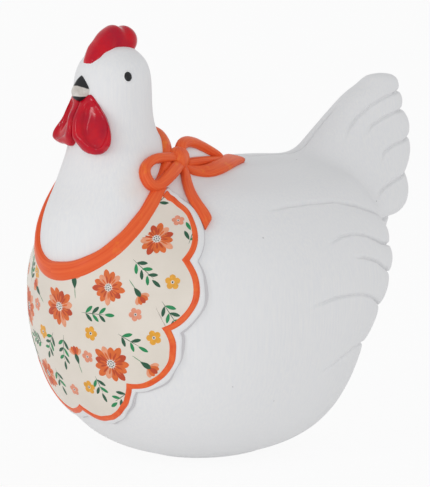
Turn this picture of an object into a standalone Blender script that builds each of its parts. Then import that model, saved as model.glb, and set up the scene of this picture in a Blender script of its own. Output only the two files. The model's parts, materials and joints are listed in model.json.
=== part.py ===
"""Hen figurine with a bib and a bow, cast in one piece.

Metres, +Z up. The hen faces -Y and its left side is +X.
The origin is the middle of the flat face that it stands on.
"""

import math

import bmesh
import bpy
import numpy as np
from mathutils import Matrix, Vector
from mathutils.bvhtree import BVHTree

MM = 0.001

# Body: height, half width, reach to the front and reach to the rear, in mm
BODY_SECTIONS = [
    (-4, 20, 22, 23),
    (0, 27, 30, 31),
    (4, 38, 43, 43),
    (9, 47, 53, 52),
    (17, 56, 62.5, 60.5),
    (31, 64.5, 73, 70),
    (46, 69.5, 79, 76.5),
    (60, 72, 83.3, 85.5),
    (75, 72.5, 85.3, 94.5),
    (90, 70.5, 85.2, 98.5),
    (104, 65, 80.5, 95.5),
    (117, 55, 67, 87),
    (127, 42, 51, 77),
    (133, 24, 34, 63),
]
BODY_TOP = 135.5

# Neck and head: height, middle along Y, half width, reach to the front and reach to the rear, in mm
NECK_SECTIONS = [
    (70, -46, 34, 37, 40),
    (91, -51, 34.5, 36.5, 44),
    (105, -54, 33, 34.8, 50),
    (119, -56, 29.5, 29.4, 54),
    (129, -56, 27, 24, 50),
    (137, -55.5, 24.5, 21.5, 39),
    (144, -55, 21.8, 20, 29.5),
    (152, -55, 19.4, 19, 22),
    (164, -54.8, 18, 17.8, 18.6),
    (172, -54.6, 17.8, 17.6, 18.2),
    (180, -54.4, 16.8, 16.6, 17.4),
    (186, -54.2, 14, 13.8, 15),
    (190, -54, 9.6, 9.4, 10.4),
]
HEAD_TOP = 192.5

# Tail: height, front edge and rear edge along Y, half thickness, in mm
TAIL_SECTIONS = [
    (98, 30, 96, 42),
    (104, 33, 109.5, 36),
    (111, 37, 122, 29),
    (122, 45, 126, 21.5),
    (133, 56, 130.5, 16.5),
    (141, 66, 131.5, 13.5),
    (148, 74, 130, 11.5),
    (155, 82.5, 127, 10),
    (162, 92, 126.2, 8.5),
    (167, 101.5, 124.2, 6.5),
]
TAIL_TOP = 170.8

# Feather lines of the tail, from its front to its rear edge: place along Y and height, in mm
TAIL_LINES = [
    [(77, 139), (82, 145), (89, 150.8), (99, 156.2), (108.5, 159.8), (118, 162), (132, 164)],
    [(89, 141), (97, 146.4), (105, 149.6), (113, 151.8), (120, 153), (134, 155)],
    [(95, 127), (101.8, 134.5), (109.7, 137.6), (120, 139.5), (136, 141.5)],
    [(85, 113), (94.4, 118.4), (103.5, 121.3), (112, 123), (130, 125.5)],
]

# Feather lines of the body, from each side to the rear: turn from straight behind, and height
WING_AXIS_Y = 20
WING_LINES = [
    [(118, 118.2), (107, 119.3), (92, 119.4), (74, 118.7), (57, 115.5), (43, 111.8), (25, 106.6),
     (0, 104)],
    [(92, 102), (82, 104.4), (75, 104.5), (65, 102.7), (58, 99.9), (50, 96.5), (25, 91), (0, 89)],
    [(80, 95), (71, 93.1), (62, 90.3), (54, 85.8), (40, 80), (20, 75), (0, 73.5)],
    [(106, 75.5), (92, 78.1), (84, 78), (76, 77.1), (67, 74), (58, 69.5), (40, 63), (20, 58.5), (0, 57)],
    [(97, 43), (85, 48), (76, 51.2), (64, 51.5), (45, 46), (20, 40), (0, 38.5)],
]
TAIL_BEGINS_Y = 60
RUMP_MARGINS = (2, 12)
LINE_DEPTH = 0.8
LINE_WIDTH = 1.4
LINE_FADE = 14
NOTCH_DEPTH_TAIL = 2.6
NOTCH_DEPTH_WING = 2.0
NOTCH_REACH = 7.5
TAIL_EDGE = (4, 15)
WING_EDGE = (50, 74)

# Neckline of the bib: its front, as place along Y and height, and its rise towards the nape
NECKLINE_FRONT = (-86.5, 93.2)
NECKLINE_SLOPE = 0.93

# Bib: corners of its scalloped edge as turn about the body in degrees and height in mm
BIB_AXIS_Y = -20
BIB_CORNERS = [(45.8, 127), (57.2, 100.5), (49.2, 70.9), (32.9, 44), (0, 29.5)]
BIB_BULGES = [0.37, 0.25, 0.3, 0.28]
BIB_RAISE = 1.8
BIB_LEDGE = 2.0
# Its middle as turn and height, the point in the body that its sides spread from, and their reach
BIB_FAN = (0, 65)
BIB_HEART = (0, -20, 72)
BIB_DEPTHS = (0.35, 1.7)
BIB_BEHIND = (10, 28)
BIB_TOP_MARGIN = 3

# Comb: place along Y, height of its foot, height of its crest and half thickness, in mm
COMB_SECTIONS = [
    (-68.5, 182, 187, 3.2),
    (-66, 182.5, 191.6, 5.4),
    (-63, 183.5, 195, 5.5),
    (-60, 184.5, 198, 6.4),
    (-57, 185, 200, 6.2),
    (-54, 185.5, 201, 6.8),
    (-50.8, 186, 199.9, 6.3),
    (-47.5, 186.5, 200.4, 6.6),
    (-44.5, 187, 198.8, 5.4),
    (-42.5, 188.5, 196.5, 3.4),
]
COMB_ENDS = (-69.6, -41.4)

# Beak: place along Y, height of its middle, half width, reach up and reach down, in mm
BEAK_SECTIONS = [
    (-62, 173.4, 6.4, 8.4, 6.4),
    (-68, 173.4, 6.4, 7.6, 6),
    (-72.3, 173.2, 5.8, 6, 5.2),
    (-75, 172.8, 4.2, 3.2, 3.6),
    (-76.2, 172.5, 2.4, 1.5, 2),
]
BEAK_TIP = (-76.8, 172.3)
BEAK_RIDGE = 1.45

# Wattle: its edge as turn about the neck in degrees and height in mm, from the beak round outwards
NECK_AXIS_Y = -55
WATTLE_EDGE = [
    (9, 170.6), (17, 171), (26, 168), (40, 163.3), (48.5, 158.8), (52, 154.6), (51.5, 150),
    (46, 146.4), (34, 144.4), (20, 144.8), (9, 147), (3, 152), (2.5, 160), (4, 167),
]
WATTLE_MIDDLE = (29, 155.5)
WATTLE_PROFILE = [(1, -3), (1.02, 0.5), (0.96, 1.6), (0.85, 1.8), (0.72, 0.6), (0.4, 1.2)]
WATTLE_CROWN = 1.5
WATTLE_FLARE = 4.6

# Eye: place on the head and half sizes, in mm
EYE_PLACE = (16.2, -58.3, 179.2)
EYE_HALF = (2.3, 2.8)
EYE_RAISE = 0.9
EYE_PROFILE = [(0.8, -2), (1, 0.3), (0.8, 0.8)]

# Strap: half width and half thickness in front, and at the nape
STRAP_FRONT = (4.4, 2.6)
STRAP_NAPE = (3, 2.6)
STRAP_STEPS = 60

# Knot of the bow: place on the skin, lift of its middle and half sizes, in mm
KNOT_PLACE = (16.5, -31.5, 138.8)
KNOT_LIFT = 2.6
KNOT_HALF = (6, 6, 6.8)

# Loops and tails of the bow: place on the skin, lift over it, half width and half thickness, in mm
FRONT_LOOP = [
    (16.1, -32.8, 141.8, 2.8, 1.8, 2),
    (19, -39, 142.6, 1.3, 2.3, 2.6),
    (21.3, -46.8, 143, 1.4, 2.2, 2.8),
    (22.7, -53.2, 141.2, 1.6, 2.2, 2.8),
    (24.2, -56.7, 137, 1.5, 2.2, 2.8),
    (25.7, -55.9, 132.4, 1.4, 2.3, 2.8),
    (26.6, -51.5, 129.7, 1.7, 2.4, 2.8),
    (25.6, -44.7, 131.5, 2.5, 2.5, 2.8),
    (22.1, -38.2, 136.2, 2.7, 2.6, 2.8),
    (19.2, -31.6, 137, 1.8, 1.8, 2),
]
REAR_LOOP = [
    (15.2, -31.5, 141.7, 2.9, 1.8, 2),
    (13.1, -29.4, 142, 5.3, 2.6, 2.6),
    (11.3, -26.4, 140.8, 8.4, 2.8, 2.6),
    (12, -16.9, 135.6, 9.9, 2.6, 2.6),
    (14, -8.3, 134.6, 7.5, 2.4, 2.6),
    (16, -4.8, 134.5, 4.2, 2.2, 2.8),
    (17.8, -9.3, 133.9, 3.4, 2.2, 2.8),
    (17.6, -16.2, 133.8, 4.2, 2.3, 2.8),
    (16.4, -25.2, 136.2, 3.5, 2.4, 2.6),
    (18, -30.3, 137.6, 0.8, 1.8, 2),
]
DOWN_TAIL = [
    (17.5, -29.3, 137.5, 0.8, 2.4, 2.2),
    (21.7, -29.6, 133.3, 0.6, 2.5, 2.2),
    (28.6, -31.9, 128.2, 0.6, 2.6, 2),
    (36.4, -34.1, 123.8, 0.5, 2.7, 2),
    (42.2, -35, 119.6, 0.5, 2.8, 2),
    (46.6, -36.2, 115.7, 0.6, 2.4, 2),
    (49.2, -38.7, 112.3, 0.4, 0.8, 1.6),
]
REAR_TAIL = [
    (17.5, -28.6, 137, 1.5, 2.6, 2.2),
    (19.6, -22.2, 133.4, 1.8, 3.2, 2.2),
    (21.7, -14.9, 132.4, 1, 3.8, 2),
    (20.9, -6, 133.4, 0.6, 4, 2),
    (17, 3, 134.6, 0.6, 3.9, 2),
    (10.9, 11.5, 135.2, 0.9, 3.9, 2),
    (7, 17.4, 135.4, 0.8, 3.4, 1.8),
]
RIBBON_SHOULDER = 0.6
RIBBON_SIDE = 0.45

# Paints: colour and roughness
PAINTS = {
    "white": ((0.8, 0.8, 0.8), 0.7),
    "cream": ((0.78, 0.72, 0.6), 0.5),
    "red": ((0.55, 0.01, 0.03), 0.2),
    "orange": ((0.75, 0.16, 0.03), 0.4),
    "black": ((0.02, 0.02, 0.02), 0.4),
}

# Roundness of the forms' cross-sections: 2 is an ellipse, and more is squarer
BODY_POWER = 2.1
NECK_POWER = 2
TAIL_POWER = 2.4
COMB_POWER = 2.3

# Skin: how finely the forms are drawn, how far in mm their joins are softened, and the triangles left
RING_STEPS = 64
LAYER_STEP = 2.0
SKIN_VOXEL = 1.4
SKIN_TRIANGLES = 6200
FLAT_FOOT = 0.8
BLEND_REACH = 7
BLEND_ROUNDS = 90
BLEND_LEAST = 0.08
BLEND_MOST = 0.55
CUT_SOFTENING = 0.3
CUT_ROUNDS = 3
RIM_ROUNDS = 12

# Details: points round each, or along it
COMB_STEPS = 30
COMB_TRIANGLES = 700
BEAK_STEPS = 16
WATTLE_STEPS = 36
EYE_STEPS = 16
KNOT_RINGS = 5
KNOT_STEPS = 12
LOOP_STEPS = 26
TAIL_STEPS = 16
SCALLOP_STEPS = 12
FAR = 200


def clear_scene():
    for thing in list(bpy.data.objects):
        bpy.data.objects.remove(thing, do_unlink=True)


def smooth_through(stations, values, at):
    """Smooth curve through the values given at the stations, read at other places."""
    x = np.asarray(stations, float)
    y = np.asarray(values, float)
    slope = np.gradient(y, x)
    i = np.clip(np.searchsorted(x, at) - 1, 0, len(x) - 2)
    width = x[i + 1] - x[i]
    t = (at - x[i]) / width
    t2, t3 = t * t, t * t * t
    return (
        (2 * t3 - 3 * t2 + 1) * y[i]
        + (t3 - 2 * t2 + t) * width * slope[i]
        + (3 * t2 - 2 * t3) * y[i + 1]
        + (t3 - t2) * width * slope[i + 1]
    )


def oval(half_width, front, rear, power):
    """Points round a closed oval, whose front and rear reach may differ."""
    turn = np.linspace(0, 2 * math.pi, RING_STEPS, endpoint=False)
    c, s = np.cos(turn), np.sin(turn)
    x = half_width * np.sign(c) * np.abs(c) ** (2 / power)
    y = np.where(s < 0, front, rear) * np.sign(s) * np.abs(s) ** (2 / power)
    return x, y


def loft(name, rings, top):
    """Closed skin over a stack of rings, flat below and drawn to a point on top."""
    mesh = bmesh.new()
    rows = [[mesh.verts.new(Vector(p) * MM) for p in ring] for ring in rings]
    steps = len(rings[0])
    for low, high in zip(rows, rows[1:]):
        for i in range(steps):
            j = (i + 1) % steps
            mesh.faces.new((low[i], low[j], high[j], high[i]))
    mesh.faces.new(list(reversed(rows[0])))
    peak = mesh.verts.new(Vector(top) * MM)
    for i in range(steps):
        mesh.faces.new((rows[-1][i], rows[-1][(i + 1) % steps], peak))
    bmesh.ops.recalc_face_normals(mesh, faces=mesh.faces)
    data = bpy.data.meshes.new(name)
    mesh.to_mesh(data)
    mesh.free()
    made = bpy.data.objects.new(name, data)
    bpy.context.scene.collection.objects.link(made)
    return made


def layers(sections, top):
    """Heights from the first section to just under the top, closer together near the top."""
    low, high = sections[0][0], top
    share = np.linspace(0, 1, int((high - low) / LAYER_STEP) + 2)[:-1]
    return low + (high - low) * np.sin(share * math.pi / 2)


def columns(sections):
    return [np.array(c, float) for c in zip(*sections)]


def dome(z, last, top):
    """Share of the last section's size that is left at a height between it and the top."""
    t = np.clip((z - last) / (top - last), 0, 1)
    return np.sqrt(1 - t * t)


def body_form():
    z, half, front, rear = columns(BODY_SECTIONS)
    rings = []
    for height in layers(BODY_SECTIONS, BODY_TOP):
        at = min(height, z[-1])
        k = dome(height, z[-1], BODY_TOP)
        w, f, r = (smooth_through(z, v, at) for v in (half, front, rear))
        mid = (r - f) / 2
        x, y = oval(w * k, (f + mid) * k, (r - mid) * k, BODY_POWER)
        rings.append(list(zip(x, y + mid, np.full(len(x), height))))
    mid = (rear[-1] - front[-1]) / 2
    return loft("body_form", rings, (0, mid, BODY_TOP))


def neck_form():
    z, middle, half, front, rear = columns(NECK_SECTIONS)
    rings = []
    for height in layers(NECK_SECTIONS, HEAD_TOP):
        at = min(height, z[-1])
        k = dome(height, z[-1], HEAD_TOP)
        m, w, f, r = (smooth_through(z, v, at) for v in (middle, half, front, rear))
        x, y = oval(w * k, f * k, r * k, NECK_POWER)
        rings.append(list(zip(x, y + m, np.full(len(x), height))))
    return loft("neck_form", rings, (0, middle[-1], HEAD_TOP))


def tail_form():
    z, front, rear, half = columns(TAIL_SECTIONS)
    rings = []
    for height in layers(TAIL_SECTIONS, TAIL_TOP):
        at = min(height, z[-1])
        k = dome(height, z[-1], TAIL_TOP)
        f, r, w = (smooth_through(z, v, at) for v in (front, rear, half))
        reach = (r - f) / 2
        x, y = oval(w * k, reach * k, reach * k, TAIL_POWER)
        rings.append(list(zip(x, y + (f + r) / 2, np.full(len(x), height))))
    return loft("tail_form", rings, (0, (front[-1] + rear[-1]) / 2, TAIL_TOP))


def joined(name, parts):
    """One object that holds the meshes of several."""
    mesh = bmesh.new()
    for part in parts:
        mesh.from_mesh(part.data)
        bpy.data.objects.remove(part, do_unlink=True)
    data = bpy.data.meshes.new(name)
    mesh.to_mesh(data)
    mesh.free()
    made = bpy.data.objects.new(name, data)
    bpy.context.scene.collection.objects.link(made)
    return made


def baked(made):
    """The object with its modifiers made part of its mesh."""
    graph = bpy.context.evaluated_depsgraph_get()
    data = bpy.data.meshes.new_from_object(made.evaluated_get(graph))
    made.modifiers.clear()
    made.data = data
    return made


def points_of(made):
    """The object's vertices and their normals, in mm."""
    data = made.data
    points = np.empty(len(data.vertices) * 3, np.float32)
    data.vertices.foreach_get("co", points)
    normals = np.empty(len(data.vertices) * 3, np.float32)
    data.vertex_normals.foreach_get("vector", normals)
    return points.reshape(-1, 3).astype(float) / MM, normals.reshape(-1, 3).astype(float)


def move_points(made, points):
    made.data.vertices.foreach_set("co", (points * MM).astype(np.float32).ravel())
    made.data.update()


def distance_to(forms, points):
    """Distance in mm from each point to each form's skin, as one column for each form."""
    found = np.empty((len(points), len(forms)))
    for column, tree in enumerate(forms):
        for row, point in enumerate(points):
            found[row, column] = tree.find_nearest(Vector(point) * MM)[3] / MM
    return found


def relaxed(points, edges, weight, rounds):
    """Points drawn towards the middle of their neighbours, in step with their weight."""
    a, b = edges[:, 0], edges[:, 1]
    count = np.bincount(np.concatenate([a, b]), minlength=len(points))[:, None]
    for _ in range(rounds):
        middle = np.stack(
            [
                np.bincount(a, points[b, axis], len(points))
                + np.bincount(b, points[a, axis], len(points))
                for axis in range(3)
            ],
            axis=1,
        )
        points = points + weight[:, None] * (middle / count - points)
    return points


def edges_of(made):
    edges = np.empty(len(made.data.edges) * 2, np.int32)
    made.data.edges.foreach_get("vertices", edges)
    return edges.reshape(-1, 2)


def blended_skin():
    """Body, neck and tail in one skin, with a soft hollow where they meet."""
    forms = [body_form(), neck_form(), tail_form()]
    graph = bpy.context.evaluated_depsgraph_get()
    trees = [BVHTree.FromObject(form, graph) for form in forms]
    skin = joined("hen_figurine", forms)
    remesh = skin.modifiers.new("skin", "REMESH")
    remesh.mode = "VOXEL"
    remesh.voxel_size = SKIN_VOXEL * MM
    baked(skin)
    points, _ = points_of(skin)
    near = np.sort(distance_to(trees, points), axis=1)[:, 1]
    weight = BLEND_LEAST + BLEND_MOST * np.exp(-((near / BLEND_REACH) ** 2))
    weight[points[:, 2] < FLAT_FOOT] = 0
    points = relaxed(points, edges_of(skin), weight, BLEND_ROUNDS)
    move_points(skin, points)
    return skin


def line_heights(line, at):
    """Height and slope of a feather line at the given stations."""
    stations, heights = columns(sorted(line))
    height = np.interp(at, stations, heights)
    slope = np.interp(at + 1, stations, heights) - height
    return height, slope


def eased(low, high, values):
    """0 up to low, 1 from high on, and a soft step between them."""
    t = np.clip((values - low) / (high - low), 0, 1)
    return t * t * (3 - 2 * t)


def notch(distance):
    """Round lobes that meet in a notch at distance 0."""
    t = 1 - np.clip(distance / NOTCH_REACH, 0, 1)
    return 1 - np.sqrt(1 - t * t)


def feather_cut(points):
    """Depth in mm to which the feather lines and the lobes between them are cut at each point."""
    x, y, z = np.abs(points[:, 0]), points[:, 1], points[:, 2]
    turn = np.degrees(np.arctan2(x, y - WING_AXIS_Y))
    rump = line_heights(WING_LINES[0], turn)[0]
    height, _, rear, _ = columns(TAIL_SECTIONS)
    edge = np.interp(z, height, rear)
    at_tail_edge = eased(-TAIL_EDGE[1], -TAIL_EDGE[0], y - edge)
    at_wing_edge = eased(-WING_EDGE[1], -WING_EDGE[0], -turn)
    on_tail = (z > rump + RUMP_MARGINS[0]) & (y > TAIL_BEGINS_Y)
    on_body = z < rump + RUMP_MARGINS[1]
    depth = np.zeros(len(points))
    families = [
        (TAIL_LINES, y, 1, at_tail_edge * NOTCH_DEPTH_TAIL, on_tail),
        (WING_LINES, turn, -1, at_wing_edge * NOTCH_DEPTH_WING, on_body),
    ]
    for lines, station, way, lobes, here in families:
        for line in lines:
            height, slope = line_heights(line, station)
            away = np.abs(z - height) / np.sqrt(1 + slope * slope)
            begun = np.clip((station - line[0][0]) * way / LINE_FADE, 0, 1)
            cut = LINE_DEPTH * begun * np.exp(-((away / LINE_WIDTH) ** 2)) + lobes * notch(away)
            depth = np.where(here, np.maximum(depth, cut), depth)
    return depth


def carved(skin):
    """The skin with its feather lines and lobes cut in and softened."""
    points, normals = points_of(skin)
    points -= normals * feather_cut(points)[:, None]
    weight = np.where(points[:, 2] < FLAT_FOOT, 0, CUT_SOFTENING)
    move_points(skin, relaxed(points, edges_of(skin), weight, CUT_ROUNDS))


def decimated(made, triangles):
    """The object reduced to about this many triangles."""
    made.data.calc_loop_triangles()
    fewer = made.modifiers.new("fewer", "DECIMATE")
    fewer.ratio = triangles / len(made.data.loop_triangles)
    fewer.use_collapse_triangulate = True
    return baked(made)


def cut_flat(made):
    """Cuts the object off at height 0, and closes it with one flat face."""
    mesh = bmesh.new()
    mesh.from_mesh(made.data)
    everything = mesh.verts[:] + mesh.edges[:] + mesh.faces[:]
    bmesh.ops.bisect_plane(
        mesh, geom=everything, plane_co=(0, 0, 0), plane_no=(0, 0, 1), clear_inner=True
    )
    rim = [edge for edge in mesh.edges if edge.is_boundary]
    corners = {corner: [] for edge in rim for corner in edge.verts}
    for edge in rim:
        first, second = edge.verts
        corners[first].append(second)
        corners[second].append(first)
    for _ in range(RIM_ROUNDS):
        moved = {c: (c.co + (a.co + b.co) / 2) / 2 for c, (a, b) in corners.items()}
        for corner, spot in moved.items():
            corner.co = spot
    bmesh.ops.contextual_create(mesh, geom=rim)
    bmesh.ops.recalc_face_normals(mesh, faces=mesh.faces)
    mesh.to_mesh(made.data)
    mesh.free()


def tree_of(made):
    return BVHTree.FromObject(made, bpy.context.evaluated_depsgraph_get())


def seen_from(tree, start, way):
    """Farthest point of the skin from a start inside it, along a direction, in mm."""
    way = Vector(way).normalized()
    hit = tree.ray_cast((Vector(start) + way * FAR) * MM, -way)[0]
    return hit / MM


def at_turn(tree, axis_y, turn, height):
    """Point of the skin at a turn in degrees about an upright axis, and the direction to it."""
    way = Vector((math.sin(math.radians(turn)), -math.cos(math.radians(turn)), 0))
    return seen_from(tree, (0, axis_y, height), way), way


def painted(made, paint):
    """Gives the object one paint, as a material shared by every object in that paint."""
    material = bpy.data.materials.get(paint)
    if material is None:
        colour, roughness = PAINTS[paint]
        material = bpy.data.materials.new(paint)
        material.use_nodes = True
        shader = material.node_tree.nodes["Principled BSDF"]
        shader.inputs["Base Color"].default_value = (*colour, 1)
        shader.inputs["Roughness"].default_value = roughness
        shader.inputs["Metallic"].default_value = 0
    made.data.materials.clear()
    made.data.materials.append(material)
    return made


def made_of(name, points, faces):
    """Object from points in mm and faces, with its faces turned outwards."""
    mesh = bmesh.new()
    verts = [mesh.verts.new(Vector(point) * MM) for point in points]
    for face in faces:
        mesh.faces.new([verts[i] for i in face])
    bmesh.ops.recalc_face_normals(mesh, faces=mesh.faces)
    if mesh.calc_volume(signed=True) < 0:
        bmesh.ops.reverse_faces(mesh, faces=mesh.faces)
    data = bpy.data.meshes.new(name)
    mesh.to_mesh(data)
    mesh.free()
    made = bpy.data.objects.new(name, data)
    bpy.context.scene.collection.objects.link(made)
    return made


def sleeve(name, rings, first, last):
    """Closed body over a row of rings, drawn to a point at each end."""
    count = len(rings[0])
    points = [point for ring in rings for point in ring] + [first, last]
    faces = []
    for row in range(len(rings) - 1):
        for i in range(count):
            j = (i + 1) % count
            low, high = row * count, (row + 1) * count
            faces.append((low + i, low + j, high + j, high + i))
    end = (len(rings) - 1) * count
    for i in range(count):
        j = (i + 1) % count
        faces.append((j, i, len(points) - 2))
        faces.append((end + i, end + j, len(points) - 1))
    return made_of(name, points, faces)


def comb():
    y, foot, crest, half = columns(COMB_SECTIONS)
    rings = []
    for at in np.linspace(y[0], y[-1], COMB_STEPS):
        f, c, h = (smooth_through(y, v, at) for v in (foot, crest, half))
        across, up = oval(h, (c - f) / 2, (c - f) / 2, COMB_POWER)
        rings.append([(a, at, u + (c + f) / 2) for a, u in zip(across, up)])
    middle = (foot + crest) / 2
    ends = [(0, COMB_ENDS[0], middle[0]), (0, COMB_ENDS[1], middle[-1])]
    return decimated(sleeve("comb", rings, *ends), COMB_TRIANGLES)


def beak():
    rings = []
    turns = np.linspace(0, 2 * math.pi, BEAK_STEPS, endpoint=False)
    for y, middle, half, up, down in BEAK_SECTIONS:
        ring = []
        for t in turns:
            power, reach = (BEAK_RIDGE, up) if t < math.pi else (1, down)
            c, s = math.cos(t), math.sin(t)
            across = half * math.copysign(abs(c) ** power, c)
            ring.append((across, y, middle + reach * math.copysign(abs(s) ** power, s)))
        rings.append(ring)
    start = (0, BEAK_SECTIONS[0][0], BEAK_SECTIONS[0][1])
    return sleeve("beak", rings, start, (0, BEAK_TIP[0], BEAK_TIP[1]))


def wattle(tree, side):
    """Rimmed and dished lobe on one side of the neck."""
    turns, heights = columns(WATTLE_EDGE + WATTLE_EDGE[:1])
    stations = np.arange(len(turns))
    at = np.linspace(0, len(turns) - 1, WATTLE_STEPS, endpoint=False)
    edge = np.stack([smooth_through(stations, row, at) for row in (turns, heights)], 1)
    middle = np.array(WATTLE_MIDDLE)
    low, high = heights.min(), heights.max()

    def place(turn, height, raised):
        spot, way = at_turn(tree, NECK_AXIS_Y, side * turn, height)
        flare = WATTLE_FLARE * (high - height) / (high - low)
        return spot + way * (raised + (flare if raised > 0 else 0))

    rings = [
        [place(*(middle + (point - middle) * share), raised) for point in edge]
        for share, raised in WATTLE_PROFILE
    ]
    back = place(*middle, WATTLE_PROFILE[0][1])
    return sleeve("wattle", rings, back, place(*middle, WATTLE_CROWN))


def eye(tree, side):
    spot, normal = lifted(tree, (EYE_PLACE[0] * side, *EYE_PLACE[1:]), 0)
    across = Vector((0, 0, 1)).cross(normal).normalized()
    up = normal.cross(across)
    rings = []
    for share, raised in EYE_PROFILE:
        ring = []
        for t in np.linspace(0, 2 * math.pi, EYE_STEPS, endpoint=False):
            flat = across * EYE_HALF[0] * math.cos(t) + up * EYE_HALF[1] * math.sin(t)
            ring.append(spot + flat * share + normal * raised)
        rings.append(ring)
    return sleeve("eye", rings, spot + normal * EYE_PROFILE[0][1], spot + normal * EYE_RAISE)


def rounded(half_width, half_thickness):
    """Corners of a ribbon's cross-section, as reach across and reach up."""
    w, t = half_width, half_thickness
    shoulder, side = w * RIBBON_SHOULDER, t * RIBBON_SIDE
    right = [(shoulder, -t), (w, -side), (w, side), (shoulder, t)]
    left = [(-across, up) for across, up in reversed(right)]
    return right + left


def neckline_points(tree):
    """Points round the neck where the skin meets the plane of the neckline, from the front."""
    front, height = NECKLINE_FRONT
    middle = Vector((0, NECK_AXIS_Y, height + NECKLINE_SLOPE * (NECK_AXIS_Y - front)))
    rise = Vector((0, 1, NECKLINE_SLOPE)).normalized()
    points = []
    for turn in np.linspace(0, 2 * math.pi, STRAP_STEPS, endpoint=False):
        way = Vector((math.sin(turn), 0, 0)) - rise * math.cos(turn)
        points.append(seen_from(tree, middle, way))
    return points


def strap(tree):
    """Thick band round the neck, narrower at the nape."""
    path = neckline_points(tree)
    rings = []
    for i, spot in enumerate(path):
        along = (path[(i + 1) % STRAP_STEPS] - path[i - 1]).normalized()
        normal = tree.find_nearest(spot * MM)[1]
        across = along.cross(normal).normalized()
        out = across.cross(along)
        share = (1 + math.cos(2 * math.pi * i / STRAP_STEPS)) / 2
        size = [n + (f - n) * share for f, n in zip(STRAP_FRONT, STRAP_NAPE)]
        rings.append([spot + across * a + out * b for a, b in rounded(*size)])
    count = len(rings[0])
    points = [point for ring in rings for point in ring]
    faces = []
    for row in range(STRAP_STEPS):
        for i in range(count):
            j = (i + 1) % count
            low, high = row * count, (row + 1) % STRAP_STEPS * count
            faces.append((low + i, low + j, high + j, high + i))
    return made_of("strap", points, faces)


def lifted(tree, place, lift):
    """Point at a height over the skin's nearest point to a place, and the skin's direction there."""
    spot, normal, _, _ = tree.find_nearest(Vector(place) * MM)
    return spot / MM + normal * lift, normal


def ribbon(name, tree, stations, steps, flat):
    """Bow ribbon along a smooth path, its back to the skin, or a loop that lies flat in one plane."""
    rows = columns(stations)
    at = np.linspace(0, len(stations) - 1, steps)
    x, y, z, lift, width, thickness = (
        smooth_through(np.arange(len(stations)), row, at) for row in rows
    )
    path, normals = zip(*(lifted(tree, place[:3], place[3]) for place in zip(x, y, z, lift)))
    reach = steps if flat else 2
    rings = []
    for i, spot in enumerate(path):
        along = (path[min(i + 1, steps - 1)] - path[max(i - 1, 0)]).normalized()
        normal = sum(normals[max(i - reach, 0) : i + reach + 1], Vector())
        across = along.cross(normal).normalized()
        out = across.cross(along)
        rings.append([spot + across * a + out * b for a, b in rounded(width[i], thickness[i])])
    return sleeve(name, rings, path[0], path[-1])


def knot(tree):
    middle = lifted(tree, KNOT_PLACE, KNOT_LIFT)[0]
    rings = []
    for tilt in np.linspace(-math.pi / 2, math.pi / 2, KNOT_RINGS + 2)[1:-1]:
        ring = []
        for turn in np.linspace(0, 2 * math.pi, KNOT_STEPS, endpoint=False):
            ball = (math.cos(tilt) * math.cos(turn), math.cos(tilt) * math.sin(turn), math.sin(tilt))
            ring.append([c + h * b for c, h, b in zip(middle, KNOT_HALF, ball)])
        rings.append(ring)
    high = Vector((0, 0, KNOT_HALF[2]))
    return sleeve("knot", rings, middle - high, middle + high)


def scallops(grow):
    """The bib's outer edge on the hen's left, as turns and heights from the neckline down."""
    middle = np.array(BIB_FAN)
    corners = []
    for corner in np.array(BIB_CORNERS, float):
        away = corner - middle
        corners.append(corner + away / np.linalg.norm(away) * grow)
    corners[-1][0] = 0
    edge = []
    for start, end, bulge in zip(corners, corners[1:], BIB_BULGES):
        chord = end - start
        out = np.array([-chord[1], chord[0]])
        half = 2 * math.atan(2 * bulge)
        radius = 1 / (2 * math.sin(half))
        for t in np.linspace(-half, half, SCALLOP_STEPS, endpoint=False):
            along = 0.5 + radius * math.sin(t)
            up = radius * (math.cos(t) - math.cos(half))
            edge.append(start + chord * along + out * up)
    edge.append(corners[-1])
    return edge


def bib_edge(tree, grow):
    """Points of the bib's whole edge on the skin."""
    left = [at_turn(tree, BIB_AXIS_Y, *spot)[0] for spot in scallops(grow)]
    right = [Vector((-p.x, p.y, p.z)) for p in reversed(left[:-1])]
    ring = neckline_points(tree)
    half = STRAP_STEPS // 2
    top = [p for p in ring[half:] + ring[:half] if p.z < BIB_CORNERS[0][1] - BIB_TOP_MARGIN]
    return left + right + top


def bib(skin, tree):
    """The skin's own shape raised a little, cut to the bib's edge."""
    raised = joined("bib", [copy_of(skin)])
    points, normals = points_of(raised)
    share = eased(BIB_BEHIND[0], BIB_BEHIND[1], -points[:, 1])
    move_points(raised, points + normals * (BIB_RAISE * share)[:, None])
    heart = Vector(BIB_HEART)
    edge = bib_edge(tree, BIB_LEDGE)
    inner = [heart + (p - heart) * BIB_DEPTHS[0] for p in edge]
    outer = [heart + (p - heart) * BIB_DEPTHS[1] for p in edge]
    front = Vector(at_turn(tree, BIB_AXIS_Y, *BIB_FAN)[0])
    caps = [heart + (front - heart) * depth for depth in BIB_DEPTHS]
    prism = sleeve("bib_prism", [inner, outer], *caps)
    return combined(raised, prism, "INTERSECT")


def copy_of(made):
    copy = bpy.data.objects.new(made.name, made.data.copy())
    bpy.context.scene.collection.objects.link(copy)
    return copy


def combined(made, other, operation):
    """One solid from two closed ones."""
    step = made.modifiers.new(operation.lower(), "BOOLEAN")
    step.operation = operation
    step.solver = "MANIFOLD"
    step.material_mode = "TRANSFER"
    step.object = other
    baked(made)
    bpy.data.objects.remove(other, do_unlink=True)
    return made


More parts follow.
